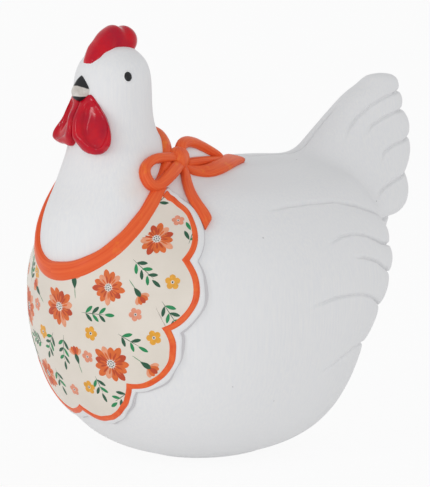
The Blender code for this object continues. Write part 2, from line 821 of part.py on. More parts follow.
def main():
    clear_scene()
    hen = blended_skin()
    carved(hen)
    tree = tree_of(hen)
    decimated(hen, SKIN_TRIANGLES)
    cut_flat(hen)
    details = [(bib(hen, tree), "cream"), (comb(), "red"), (beak(), "black")]
    details += [(strap(tree), "orange"), (knot(tree), "orange")]
    for side in (1, -1):
        details += [(wattle(tree, side), "red"), (eye(tree, side), "black")]
    details.append((ribbon("front_loop", tree, FRONT_LOOP, LOOP_STEPS, True), "orange"))
    details.append((ribbon("rear_loop", tree, REAR_LOOP, LOOP_STEPS, True), "orange"))
    details.append((ribbon("down_tail", tree, DOWN_TAIL, TAIL_STEPS, False), "orange"))
    details.append((ribbon("rear_tail", tree, REAR_TAIL, TAIL_STEPS, False), "orange"))
    painted(hen, "white")
    for detail, paint in details:
        combined(hen, painted(detail, paint), "UNION")


main()
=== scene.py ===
# %% [markdown]
# # A painted hen with a bib and a bow
# The figurine is one solid casting that was painted by hand: chalky white all over,
# glossy red on the comb and the wattles, orange on the ribbon, and a printed flower pattern on the bib.
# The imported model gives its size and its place. Each painted part is made again here as its own fine
# piece in that same place, so that each can have the finish of its paint.

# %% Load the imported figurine
import json
import math

import bpy
import numpy as np
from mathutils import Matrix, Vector
from mathutils.bvhtree import BVHTree
from mathutils.interpolate import poly_3d_calc

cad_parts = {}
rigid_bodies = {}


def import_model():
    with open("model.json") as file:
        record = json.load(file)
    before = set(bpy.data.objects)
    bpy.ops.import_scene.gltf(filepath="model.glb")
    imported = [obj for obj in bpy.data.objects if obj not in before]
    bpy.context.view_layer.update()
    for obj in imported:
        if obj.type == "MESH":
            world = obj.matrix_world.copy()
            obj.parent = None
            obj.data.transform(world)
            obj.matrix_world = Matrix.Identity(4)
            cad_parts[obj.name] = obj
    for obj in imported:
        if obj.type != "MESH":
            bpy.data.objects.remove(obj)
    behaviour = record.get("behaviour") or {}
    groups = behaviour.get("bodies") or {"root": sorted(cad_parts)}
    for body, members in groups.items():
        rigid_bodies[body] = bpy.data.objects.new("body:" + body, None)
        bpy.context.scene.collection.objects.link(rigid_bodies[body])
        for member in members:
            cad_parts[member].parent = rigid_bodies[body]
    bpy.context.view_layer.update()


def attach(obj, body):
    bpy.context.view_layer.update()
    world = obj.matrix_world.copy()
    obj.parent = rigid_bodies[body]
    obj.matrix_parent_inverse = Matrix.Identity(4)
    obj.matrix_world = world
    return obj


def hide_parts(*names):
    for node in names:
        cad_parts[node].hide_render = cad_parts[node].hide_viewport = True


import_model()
MM = 0.001

# %% [markdown]
# ## Camera
# The photograph looks at the hen's left front from slightly above. A camera needs a place, a direction and
# a lens. The place is worked out from two angles and a distance, because that keeps the hen in the middle
# whatever the angles are. The lens follows from how many millimetres one picture row covers.

# %% Camera at the photograph's angle
PICTURE_WIDTH, PICTURE_HEIGHT = 430, 487
VIEW_TURN, VIEW_RISE = math.radians(50), math.radians(9)
VIEW_DISTANCE = 1.1
VIEW_TARGET = Vector((0, 0, 0.095))
ROW_SIZE = 0.47 * MM
SENSOR_HEIGHT = 24
PICTURE_MIDDLE = (205, 246)

view_back = Vector(
    (
        math.sin(VIEW_TURN) * math.cos(VIEW_RISE),
        -math.cos(VIEW_TURN) * math.cos(VIEW_RISE),
        math.sin(VIEW_RISE),
    )
)
bpy.ops.object.camera_add(location=VIEW_TARGET + view_back * VIEW_DISTANCE)
camera = bpy.context.object
camera.rotation_euler = view_back.to_track_quat("Z", "Y").to_euler()
camera.data.sensor_fit = "VERTICAL"
camera.data.sensor_height = SENSOR_HEIGHT
camera.data.lens = SENSOR_HEIGHT * VIEW_DISTANCE / (PICTURE_HEIGHT * ROW_SIZE)
camera.data.shift_x = (PICTURE_WIDTH / 2 - PICTURE_MIDDLE[0]) / PICTURE_HEIGHT
camera.data.shift_y = (PICTURE_MIDDLE[1] - PICTURE_HEIGHT / 2) / PICTURE_HEIGHT
bpy.context.scene.camera = camera
print("the lens is", round(camera.data.lens, 1), "mm long")

# %% [markdown]
# ## Helpers
# Every modelled piece starts from a primitive. For lobes, ribbons and domes the most useful one is the
# grid: it can be wrapped into a tube or drawn together to a point, and it brings its own texture map, in
# which one direction runs along the piece. An operator acts on all that is selected, so each step begins
# with nothing selected but its own piece.


# %% Select one piece and work on it
def only(piece):
    """Makes one piece the only selected and the active one."""
    bpy.ops.object.select_all(action="DESELECT")
    piece.select_set(True)
    bpy.context.view_layer.objects.active = piece
    return piece


def modified(piece, kind, **settings):
    """Adds a modifier to a piece and applies it."""
    only(piece)
    step = piece.modifiers.new(kind.lower(), kind)
    for name, value in settings.items():
        setattr(step, name, value)
    bpy.ops.object.modifier_apply(modifier=step.name)
    return piece


# %% A grid wrapped into shape
def wrapped(name, rows):
    """A grid primitive with each corner in its place in mm, merged where its edges meet."""
    rows = np.asarray(rows, float)
    high, wide = rows.shape[:2]
    bpy.ops.object.select_all(action="DESELECT")
    bpy.ops.mesh.primitive_grid_add(x_subdivisions=wide - 1, y_subdivisions=high - 1, size=1)
    piece = bpy.context.object
    piece.name = name
    piece.data.vertices.foreach_set("co", (rows.reshape(-1) * MM).astype(np.float32))
    bpy.ops.object.mode_set(mode="EDIT")
    bpy.ops.mesh.select_all(action="SELECT")
    bpy.ops.mesh.remove_doubles(threshold=1e-7)
    bpy.ops.mesh.normals_make_consistent(inside=False)
    bpy.ops.object.mode_set(mode="OBJECT")
    bpy.ops.object.shade_smooth()
    return piece


def full_turn(steps):
    """The angles of a full turn in even steps."""
    return np.linspace(0, 2 * math.pi, steps, endpoint=False)


def closed_ring(points):
    return list(points) + [points[0]]


def ends_drawn(rings, first, last):
    """Rings with a row at each end in which every corner lies on one point."""
    wide = len(rings[0])
    return [[first] * wide] + list(rings) + [[last] * wide]


def through(stations, values, at):
    """Smooth curve through the values at the stations, read at other places."""
    x, y = np.asarray(stations, float), np.asarray(values, float)
    slope = np.gradient(y, x)
    i = np.clip(np.searchsorted(x, at) - 1, 0, len(x) - 2)
    width = x[i + 1] - x[i]
    t = (at - x[i]) / width
    t2, t3 = t * t, t * t * t
    return (
        (2 * t3 - 3 * t2 + 1) * y[i]
        + (t3 - 2 * t2 + t) * width * slope[i]
        + (3 * t2 - 2 * t3) * y[i + 1]
        + (t3 - t2) * width * slope[i + 1]
    )


def hump(away, half):
    """1 in the middle, falling off softly to both sides."""
    return np.exp(-((away / half) ** 2))


def unsteady(at, waves):
    """The small errors of a hand: a sum of waves, each with a size, a rate and a shift."""
    return sum(size * math.sin(rate * at + shift) for size, rate, shift in waves)


def columns(rows):
    return [np.array(column, float) for column in zip(*rows)]


# %% [markdown]
# ## White body
# The real body was modelled in clay as one smooth mass: a round body, a neck that grows out of it, and a
# fan-shaped tail. Here each of the three is a stack of ovals. A voxel remesh melts them into one skin, and
# a Smooth modifier with a painted weight rounds only the hollows where they meet. Boxes and a mirror would
# also do, but ovals at known heights keep the outline exact.

# %% Sections of the three forms
def curved(value, exponent):
    """A cosine or sine to a power that keeps its sign. Below 1 it makes an oval fuller."""
    return np.copysign(np.abs(value) ** exponent, value)


BODY_SECTIONS = [
    (-4, 20, 22, 23), (0, 27, 30, 31), (4, 38, 43, 43), (9, 47, 53, 52), (17, 56, 62.5, 60.5),
    (31, 64.5, 73, 70), (46, 69.5, 79, 76.5), (60, 72, 83.3, 85.5), (75, 72.5, 85.3, 94.5),
    (90, 70.5, 85.2, 98.5), (104, 65, 80.5, 95.5), (117, 55, 67, 87), (127, 42, 51, 77),
    (133, 24, 34, 63),
]
NECK_SECTIONS = [
    (70, -46, 34, 37, 40), (91, -51, 34.5, 36.5, 44), (105, -54, 33, 34.8, 50),
    (119, -56, 29.5, 29.4, 54), (129, -56, 27, 24, 50), (137, -55.5, 24.5, 21.5, 39),
    (144, -55, 21.8, 20, 29.5), (152, -55, 19.4, 19, 22), (164, -54.8, 18, 17.8, 18.6),
    (172, -54.6, 17.8, 17.6, 18.2), (180, -54.4, 16.8, 16.6, 17.4), (186, -54.2, 14, 13.8, 15),
    (190, -54, 9.6, 9.4, 10.4),
]
TAIL_SECTIONS = [
    (95, 30, 98, 36), (99.5, 32, 106.5, 31), (103.5, 34, 117, 29.5), (109, 36.5, 123.4, 27.5),
    (120.5, 45, 126, 21.5),
    (133, 56, 130.5, 16.5), (141, 66, 131.5, 13.5), (148, 74, 130, 11.5), (155, 82.5, 127, 10),
    (162, 92, 126.2, 8.5), (167, 101.5, 124.2, 6.5),
]
BODY_TOP, HEAD_TOP, TAIL_TOP = 135.5, 192.5, 170.8
OVAL_STEPS, ROW_HEIGHT = 96, 1.6


def oval(middle, half_width, front, rear, power, height):
    """Points of a closed oval ring at a height."""
    turn = full_turn(OVAL_STEPS)
    c, s = np.cos(turn), np.sin(turn)
    x = half_width * curved(c, 2 / power)
    y = middle + np.where(s < 0, front, rear) * curved(s, 2 / power)
    return closed_ring(list(zip(x, y, np.full(OVAL_STEPS, height))))


def form(name, sections, top, power, sizes):
    """A form whose sections give a middle, a half width and two reaches, domed at the top."""
    low, last = sections[0][0], sections[-1][0]
    share = np.linspace(0, 1, int((top - low) / ROW_HEIGHT) + 2)[:-1]
    heights = low + (top - low) * np.sin(share * math.pi / 2)
    z, *values = columns(sections)
    rings = []
    for height in heights:
        left = math.sqrt(1 - min(max((height - last) / (top - last), 0), 1) ** 2)
        middle, half, front, rear = sizes(*(through(z, v, min(height, last)) for v in values))
        rings.append(oval(middle, half * left, front * left, rear * left, power, height))
    middle = sizes(*(v[-1] for v in values))[0]
    first = sizes(*(v[0] for v in values))[0]
    return wrapped(name, ends_drawn(rings, (0, first, low), (0, middle, top)))


body_form = form(
    "body_form", BODY_SECTIONS, BODY_TOP, 2.1,
    lambda half, front, rear: ((rear - front) / 2, half, (front + rear) / 2, (front + rear) / 2),
)
neck_form = form(
    "neck_form", NECK_SECTIONS, HEAD_TOP, 2,
    lambda middle, half, front, rear: (middle, half, front, rear),
)
tail_form = form(
    "tail_form", TAIL_SECTIONS, TAIL_TOP, 2.4,
    lambda front, rear, half: ((front + rear) / 2, half, (rear - front) / 2, (rear - front) / 2),
)
print("three forms of", [len(f.data.polygons) for f in (body_form, neck_form, tail_form)], "faces")

# %% [markdown]
# The remesh leaves a crease wherever two forms cross. A vertex group holds how close each point lies to a
# second form, and the Smooth modifier reads it, so that the creases turn into soft hollows while the belly
# and the head keep their shape.

# %% Melt the forms into one skin
SKIN_VOXEL = 1.5
JOIN_EVERYWHERE, JOIN_CREASE, JOIN_REACH = 0.08, 0.55, 7
JOIN_FACTOR, JOIN_ROUNDS = 1.26, 78


def points_of(piece):
    """The piece's points and their normals, in mm."""
    data = piece.data
    points = np.empty(len(data.vertices) * 3, np.float32)
    data.vertices.foreach_get("co", points)
    normals = np.empty(len(data.vertices) * 3, np.float32)
    data.vertex_normals.foreach_get("vector", normals)
    return points.reshape(-1, 3).astype(float) / MM, normals.reshape(-1, 3).astype(float)


def weighted(piece, name, weights):
    """A vertex group with a weight for each point."""
    group = piece.vertex_groups.new(name=name)
    steps = np.round(np.clip(weights, 0, 1) * 100).astype(int)
    for step in np.unique(steps[steps > 0]):
        group.add(np.nonzero(steps == step)[0].tolist(), step / 100, "REPLACE")
    return name


graph = bpy.context.evaluated_depsgraph_get()
form_trees = [BVHTree.FromObject(f, graph) for f in (body_form, neck_form, tail_form)]
only(body_form)
neck_form.select_set(True)
tail_form.select_set(True)
bpy.ops.object.join()
white_body = bpy.context.object
white_body.name = "white_body"
modified(white_body, "REMESH", mode="VOXEL", voxel_size=SKIN_VOXEL * MM)
skin_points, _ = points_of(white_body)
second = np.array(
    [sorted(t.find_nearest(Vector(p) * MM)[3] for t in form_trees)[1] for p in skin_points]
) / MM
joins = JOIN_EVERYWHERE + JOIN_CREASE * hump(second, JOIN_REACH)
joins /= JOIN_EVERYWHERE + JOIN_CREASE
joins[skin_points[:, 2] < 0.8] = 0
weighted(white_body, "joins", joins)
modified(white_body, "SMOOTH", factor=JOIN_FACTOR, iterations=JOIN_ROUNDS, vertex_group="joins")
print("one skin of", len(white_body.data.polygons), "faces")

# %% [markdown]
# ## Feather lines
# The tail and the rump carry long shallow grooves that end in rounded lobes at the rear edge, cut with a
# loop tool before the clay was dry. A groove about a millimetre wide needs faces smaller than that, so the
# faces along each line are subdivided first. Then a Displace modifier pushes the skin in, by a weight that
# is largest on the line and falls off beside it.

# %% Where the feather lines run
TAIL_LINES = [
    [(77, 139), (82, 145), (89, 150.8), (99, 156.2), (108.5, 159.4), (118, 161.2), (132, 162.6)],
    [(89, 141), (97, 146.4), (105, 149.4), (113, 151.2), (120, 152.1), (134, 153.7)],
    [(95, 127), (101.8, 133.6), (109.7, 136.2), (120, 137.6), (136, 139.2)],
    [(85, 112), (94.4, 116.8), (103.5, 119.2), (112, 120.6), (130, 122.6)],
]
RUMP_AXIS_Y = 20
RUMP_LINES = [
    [(118, 118.2), (107, 119.3), (92, 119.4), (74, 118.7), (57, 115.3), (43, 110.6), (25, 103),
     (0, 98.5)],
    [(92, 102), (82, 104.4), (75, 104.5), (65, 102.7), (58, 99.9), (50, 96.5), (25, 91), (0, 89)],
    [(80, 95), (71, 93.1), (62, 90.3), (54, 85.8), (40, 80), (20, 75), (0, 73.5)],
    [(106, 75.5), (92, 78.1), (84, 78), (76, 77.1), (67, 74), (58, 69.5), (40, 63), (20, 58.5), (0, 57)],
    [(97, 43), (85, 48), (76, 51.2), (64, 51.5), (45, 46), (20, 40), (0, 38.5)],
]
GROOVE_DEPTH, GROOVE_WIDTH, GROOVE_FADE = 1.15, 0.62, 8
LOBE_DEPTH_TAIL, LOBE_DEPTH_RUMP, LOBE_REACH = 2.6, 2.0, 7.5
TAIL_LOBES_BEHIND, RUMP_LOBE_TURNS = (-15, -4), (-74, -50)
TAIL_OVER_RUMP, TAIL_FROM_Y, RUMP_OVERLAP = 2, 60, 12
SPLIT_AT, SPLIT_WIDTH, SPLIT_DEPTH, SPLIT_FROM_Y, SPLIT_REACH = -0.8, 0.9, 1.7, 25, 9
SPLIT_HEIGHTS, SPLIT_SOFT = (125, 158), 6


def eased(low, high, values):
    """0 up to low, 1 from high on, and a soft step between them."""
    t = np.clip((values - low) / (high - low), 0, 1)
    return t * t * (3 - 2 * t)


def line_heights(line, at):
    stations, heights = columns(sorted(line))
    height = np.interp(at, stations, heights)
    return height, np.interp(at + 1, stations, heights) - height


def feather_lines(points):
    """Depth of cut at each point, and its distance from the nearest line, both in mm."""
    x, y, z = np.abs(points[:, 0]), points[:, 1], points[:, 2]
    turn = np.degrees(np.arctan2(x, y - RUMP_AXIS_Y))
    rump = line_heights(RUMP_LINES[0], turn)[0]
    heights, fronts, rears, _ = columns(TAIL_SECTIONS)
    at_tail_edge = eased(*TAIL_LOBES_BEHIND, y - np.interp(z, heights, rears)) * LOBE_DEPTH_TAIL
    at_rump_edge = eased(*RUMP_LOBE_TURNS, -turn) * LOBE_DEPTH_RUMP
    depth, nearest = np.zeros(len(points)), np.full(len(points), 99.0)
    for lines, station, way, lobes, here in (
        (TAIL_LINES, y, 1, at_tail_edge, (z > rump + TAIL_OVER_RUMP) & (y > TAIL_FROM_Y)),
        (RUMP_LINES, turn, -1, at_rump_edge, z < rump + RUMP_OVERLAP),
    ):
        for line in lines:
            height, slope = line_heights(line, station)
            away = np.abs(z - height) / np.sqrt(1 + slope * slope)
            begun = np.clip((station - line[0][0]) * way / GROOVE_FADE, 0, 1)
            t = 1 - np.clip(away / LOBE_REACH, 0, 1)
            cut = GROOVE_DEPTH * begun * hump(away, GROOVE_WIDTH)
            cut = cut + lobes * (1 - np.sqrt(1 - t * t))
            depth = np.where(here, np.maximum(depth, cut), depth)
            nearest = np.where(here & (begun > 0), np.minimum(nearest, away), nearest)
    away = np.abs(points[:, 0] - SPLIT_AT)
    low, high = SPLIT_HEIGHTS
    here = eased(low, low + SPLIT_SOFT, z) * eased(-high, -high + SPLIT_SOFT, -z) * (y > SPLIT_FROM_Y)
    here = here * (y < np.interp(z, heights, fronts) + SPLIT_REACH)
    split = here * SPLIT_DEPTH * hump(away, SPLIT_WIDTH)
    return np.maximum(depth, split), np.where(here > 0, np.minimum(nearest, away), nearest)


# %% Finer faces along the lines, then the cut
def subdivided_near(piece, measure, reach):
    """Cuts in four each face whose middle lies within reach, in mm, by a measure of distance."""
    middles = np.array([f.center for f in piece.data.polygons]) / MM
    near = measure(middles) < reach
    only(piece)
    bpy.ops.object.mode_set(mode="EDIT")
    bpy.ops.mesh.select_mode(type="FACE")
    bpy.ops.mesh.select_all(action="DESELECT")
    bpy.ops.object.mode_set(mode="OBJECT")
    piece.data.polygons.foreach_set("select", near)
    bpy.ops.object.mode_set(mode="EDIT")
    bpy.ops.mesh.subdivide(number_cuts=1, smoothness=1)
    bpy.ops.object.mode_set(mode="OBJECT")


FINER_REACHES = (3.2, 1.7)
WORKED_REACH, WORKED_ELSEWHERE = 6, 0.3

for reach in FINER_REACHES:
    subdivided_near(white_body, lambda middles: feather_lines(middles)[1], reach)
skin_points, _ = points_of(white_body)
depth, nearest = feather_lines(skin_points)
weighted(white_body, "feathers", depth / LOBE_DEPTH_TAIL)
modified(
    white_body, "DISPLACE", direction="NORMAL", mid_level=0,
    strength=-LOBE_DEPTH_TAIL * MM, vertex_group="feathers",
)
weighted(white_body, "worked", np.where(nearest < WORKED_REACH, 1, WORKED_ELSEWHERE))
modified(white_body, "SMOOTH", factor=0.5, iterations=1, vertex_group="worked")
only(white_body)
bpy.ops.object.mode_set(mode="EDIT")
bpy.ops.mesh.select_all(action="SELECT")
bpy.ops.mesh.bisect(
    plane_co=(0, 0, 0), plane_no=(0, 0, 1), use_fill=True, clear_inner=True, threshold=1e-6
)
bpy.ops.object.mode_set(mode="OBJECT")
white_body.vertex_groups.clear()
bpy.ops.object.shade_smooth_by_angle(angle=math.radians(60))
print("white body:", len(white_body.data.polygons), "faces")

# %% [markdown]
# ## A surface to build on
# The bib, the ribbon, the eyes and the wattles all lie on the white skin. To place them, a ray is cast
# towards the skin and the smooth normal at the hit tells which way is out.


# %% The skin as a surface to lay things on
def way_at(turn):
    """The level direction at a turn in degrees from straight ahead."""
    return Vector((math.sin(math.radians(turn)), -math.cos(math.radians(turn)), 0))


class Surface:
    """A finished mesh that other pieces are laid on. All its lengths are in mm."""

    def __init__(self, piece):
        self.points = [v.co / MM for v in piece.data.vertices]
        self.normals = [v.normal.copy() for v in piece.data.vertices]
        self.faces = [tuple(f.vertices) for f in piece.data.polygons]
        self.tree = BVHTree.FromPolygons(self.points, self.faces)

    def normal_at(self, spot, face):
        corners = self.faces[face]
        shares = poly_3d_calc([self.points[i] for i in corners], spot)
        return sum((self.normals[i] * s for i, s in zip(corners, shares)), Vector()).normalized()

    def near(self, place):
        spot, _, face, _ = self.tree.find_nearest(Vector(place))
        return spot, self.normal_at(spot, face)

    def seen(self, start, way):
        """The farthest point from a start inside, along a direction."""
        way = Vector(way).normalized()
        spot, _, face, _ = self.tree.ray_cast(Vector(start) + way * 200, -way)
        return spot, self.normal_at(spot, face)

    def at_turn(self, axis_y, turn, height):
        """The point at a turn in degrees about an upright axis, from straight ahead."""
        return self.seen((0, axis_y, height), way_at(turn))


def upright_axes(normal):
    """The directions across and up on a surface with this normal."""
    across = Vector((0, 0, 1)).cross(normal).normalized()
    return across, normal.cross(across)


skin = Surface(white_body)
print("the breast lies at", [round(c, 1) for c in skin.at_turn(-20, 0, 75)[0]])

# %% [markdown]
# ## Bib
# The bib is a raised plate with a scalloped edge. Its neckline is about where a sloping plane meets
# the neck, and each scallop is a part of a circle. In the plan used here, one axis is the turn about
# the body and the other the height. The plate is a grid that spans from the neckline to the scallops
# and is wrapped over its rim, because grid lines that run along the edge keep that edge crisp.

# %% Neckline and scallops
NECK_AXIS_Y = -55
NECKLINE_FRONT, NECKLINE_SLOPE, NECKLINE_RISE, NECKLINE_LEAN = (-86.5, 93.2), 0.93, 0.16, 0.36
BIB_AXIS_Y = -20
BIB_CORNERS = [(44.2, 126), (56.2, 100), (48.6, 70.9), (32.9, 44), (0, 29.5)]
RIGHT_CORNER = (41, 134)
BIB_BULGES = [0.375, 0.245, 0.3, 0.28]
SHOULDER_FLAT, SHOULDER_RANGE = 2.2, np.radians((40.5, 47, 50.5, 54))
BIB_MIDDLE = np.array((0, 65.0))
BIB_RAISE = 1.8
BIB_STEPS = 520


def neckline(turns):
    """Places and normals of the skin round the neck. They rise at the nape and on the right side."""
    y, z = NECKLINE_FRONT
    middle = Vector((0, NECK_AXIS_Y, z + NECKLINE_SLOPE * (NECK_AXIS_Y - y)))
    back = Vector((0, 1, NECKLINE_SLOPE)).normalized()
    up = Vector((0, -NECKLINE_SLOPE, 1)).normalized()
    found = []
    for t in turns:
        rise = NECKLINE_RISE * ((1 - math.cos(t)) / 2) ** 3 + NECKLINE_LEAN * min(0, math.sin(t)) ** 2
        found.append(skin.seen(middle, Vector((math.sin(t), 0, 0)) - back * math.cos(t) + up * rise))
    return found


def scallop_discs():
    """Middle and radius of each scallop's circle, on both sides."""
    discs = []
    for side, first in ((1, BIB_CORNERS[0]), (-1, RIGHT_CORNER)):
        corners = np.array([first] + BIB_CORNERS[1:], float)
        for start, end, bulge in zip(corners, corners[1:], BIB_BULGES):
            chord = end - start
            out = np.array([-chord[1], chord[0]])
            half = 2 * math.atan(2 * bulge)
            radius = 1 / (2 * math.sin(half))
            middle = start + chord / 2 - out * radius * math.cos(half)
            discs.append((middle * (side, 1), radius * np.linalg.norm(chord)))
    return discs


DISCS = scallop_discs()
FIRST_WAY = math.atan2(BIB_CORNERS[0][1] - BIB_MIDDLE[1], BIB_CORNERS[0][0])
LAST_WAY = -math.pi - math.atan2(RIGHT_CORNER[1] - BIB_MIDDLE[1], RIGHT_CORNER[0])
edge_ways = np.linspace(FIRST_WAY, LAST_WAY, BIB_STEPS)


def edge_at(way, grow):
    """Point of the scalloped edge, as turn and height, in a direction from the bib's middle."""
    ray = np.array((math.cos(way), math.sin(way)))
    reach = 0
    for middle, radius in DISCS:
        along = ray @ (middle - BIB_MIDDLE)
        inside = along**2 - ((middle - BIB_MIDDLE) @ (middle - BIB_MIDDLE)) + (radius + grow) ** 2
        if inside > 0:
            reach = max(reach, along + math.sqrt(inside))
    rise, a, b, c, d = math.asin(ray[1]), *SHOULDER_RANGE
    reach -= SHOULDER_FLAT * eased(a, b, rise) * (1 - eased(c, d, rise))
    return BIB_MIDDLE + ray * reach


def turn_and_height(spot):
    return math.degrees(math.atan2(spot.x, BIB_AXIS_Y - spot.y)), spot.z


front_half = [spot for spot, _ in neckline(np.radians(np.linspace(110, -110, 440)))]
left_end, right_end = BIB_CORNERS[0][1], RIGHT_CORNER[1]
under = [spot for spot in front_half if spot.z < (left_end if spot.x > 0 else right_end)]
top_plan = np.array([turn_and_height(spot) for spot in under])
stride = np.r_[0, np.cumsum(np.linalg.norm(np.diff(top_plan, axis=0), axis=1))]
at = np.linspace(0, stride[-1], BIB_STEPS)
top_edge = np.stack([np.interp(at, stride, top_plan[:, k]) for k in (0, 1)], axis=1)
print("neckline from", top_edge[0].round(1), "to", top_edge[-1].round(1), "degrees and mm")


# %% Plate and cream panel
def bib_sheet(name, layers):
    """A closed sheet. Each layer is a share of the way from the neckline, a growth and a lift."""
    rows = []
    for share, grow, lift in layers:
        row = []
        for top, way in zip(top_edge, edge_ways):
            spread = grow(way) if callable(grow) else grow
            plan = top + (edge_at(way, spread) - top) * share
            spot, normal = skin.at_turn(BIB_AXIS_Y, *plan)
            row.append(spot + normal * lift)
        rows.append(row)
    rows.append(rows[0])
    rows = np.array(rows, float)
    for side in (0, -1):
        rows[:, side] = rows[:, side].mean(axis=0)
    return wrapped(name, rows)


LEDGE_WIDTH, LEDGE_WAVES = 3.3, [(0.4, 3.3, 1), (0.3, 11, 0), (0.2, 31, 0)]
SWELL, SWELL_AT, SWELL_HALF = 1.1, 0.62, 0.13
FOOT_WAVES = [(0.3, 17, 2), (0.2, 7, 0)]


def beyond(far):
    """Growth of the bare white ledge beyond the scallops, which is uneven, as a hand left it."""

    def grow(way):
        swell = SWELL * hump(way - SWELL_AT, SWELL_HALF)
        return LEDGE_WIDTH + swell + unsteady(way, LEDGE_WAVES) + far

    return grow


def below(far):
    """Growth of a second, lower step at the foot of the ledge."""
    return lambda way: beyond(far)(way) + unsteady(way, FOOT_WAVES)


across = np.linspace(0, 1, 46)
plate_layers = [(s, 1.0, BIB_RAISE) for s in across]
plate_layers += [(1, beyond(-0.45), BIB_RAISE - 0.05), (1, beyond(-0.15), BIB_RAISE - 0.3)]
plate_layers += [(1, beyond(0), BIB_RAISE - 0.7), (1, beyond(0.03), 0.72), (1, below(0.75), 0.62)]
plate_layers += [(1, below(0.92), 0.45), (1, below(0.95), -0.6)]
# The foot's layers span the part of the plate's map where a grey line of painted shade darkens the crease.
foot_layers = (len(plate_layers) - 4, len(plate_layers) - 2)
plate_layers += [(s, 1.0, -0.8) for s in (0.97, 0.6, 0.3, 0)]
PLATE_SHADE_SPAN = [layer / len(plate_layers) for layer in foot_layers]
bib_plate = bib_sheet("bib_plate", plate_layers)
bpy.ops.object.shade_smooth_by_angle(angle=math.radians(50))
PANEL_LIFT = BIB_RAISE + 0.12
panel_layers = [(s, 0, PANEL_LIFT) for s in across] + [(s, 0, 1.0) for s in (1, 0.6, 0.3, 0)]
bib_panel = bib_sheet("bib_panel", panel_layers)
print("bib plate:", len(bib_plate.data.polygons), "faces, panel:", len(bib_panel.data.polygons))

# %% [markdown]
# The orange border is a bead of thick paint, two and a half millimetres wide. It is laid as a flat tube
# along the scallops, so that it stands a little above the print and shows a fine edge of light.

# %% Painted border
BORDER_HALF, BORDER_WAVES = 1.25, [(0.09, 23, 0), (0.06, 41, 2)]
border_profile = [
    (-1, -0.5), (-1, 0.12), (-0.9, 0.26), (-0.6, 0.36), (0, 0.4), (0.6, 0.36), (0.9, 0.26), (1, 0.1),
    (1.05, -0.5),
]


def border_grow(share):
    return lambda way: BORDER_HALF * share + unsteady(way, BORDER_WAVES)


bib_border = bib_sheet("bib_border", [(1, border_grow(s), BIB_RAISE + h) for s, h in border_profile])
print("border:", len(bib_border.data.polygons), "faces")

# %% [markdown]
# ## Strap and bow
# The ribbon was rolled from clay: thick, with round edges. A curve with a bevel would twist where the
# path bends over the shoulder, so each ribbon is a grid wrapped round its path, with every section turned
# to the skin's own normal.

# %% Sections of a clay ribbon
RIBBON_POWER, DENT_SHARE = 2.8, 0.35


def ribbon_section(half_width, half_thickness, steps=20, dent=0.0, root=1.0):
    """Reach across and up of a ribbon's rounded section, dented on top and deeper below by a factor."""
    points = []
    for t in full_turn(steps):
        c, s = math.cos(t), math.sin(t)
        a = half_width * curved(c, 2 / RIBBON_POWER)
        b = half_thickness * curved(s, 2 / RIBBON_POWER)
        if s > 0:
            b -= dent * hump(a, DENT_SHARE * half_width)
        else:
            b *= root
        points.append((a, b))
    return points


def ring_about(spot, along, normal, section, slant=0.0):
    """One section of a ribbon set across its path."""
    side = along.cross(normal).normalized()
    out = side.cross(along)
    ring = [spot + side * a + out * b + along * slant * a for a, b in section]
    return closed_ring(ring)


# %% Strap round the neck
STRAP_STEPS = 260
STRAP_FRONT, STRAP_NAPE = (4.4, 2.6), (2.4, 2.7)
STRAP_WAVES = [(0.12, 7, 1), (0.08, 17, 0)]
STRAP_DENT = 0.35


def strap_piece():
    turns = full_turn(STRAP_STEPS)
    path = neckline(turns)
    rows = []
    for i, turn in enumerate(turns):
        spot = path[i][0]
        around = [path[(i + k) % STRAP_STEPS] for k in range(-5, 6)]
        along = (around[6][0] - around[4][0]).normalized()
        normal = sum((n for _, n in around), Vector()).normalized()
        share = (1 + math.cos(turn)) / 2
        half, thick = (n + (f - n) * share for f, n in zip(STRAP_FRONT, STRAP_NAPE))
        half += unsteady(turn, STRAP_WAVES)
        dent = STRAP_DENT * max(0, math.sin(turn * 1.5 - 0.3)) ** 2
        rows.append(ring_about(spot, along, normal, ribbon_section(half, thick, 24, dent)))
    return wrapped("strap", rows + [rows[0]])


strap = strap_piece()
print("strap:", len(strap.data.polygons), "faces")

# %% [markdown]
# The bow has two loops, two ends and a knot. Each path is a short list of stations: a place, how high
# the ribbon stands over the skin there, half its width and half its thickness. The front loop keeps
# to one plane over the skin, the rear one stands free of it, and the ends lie on it.

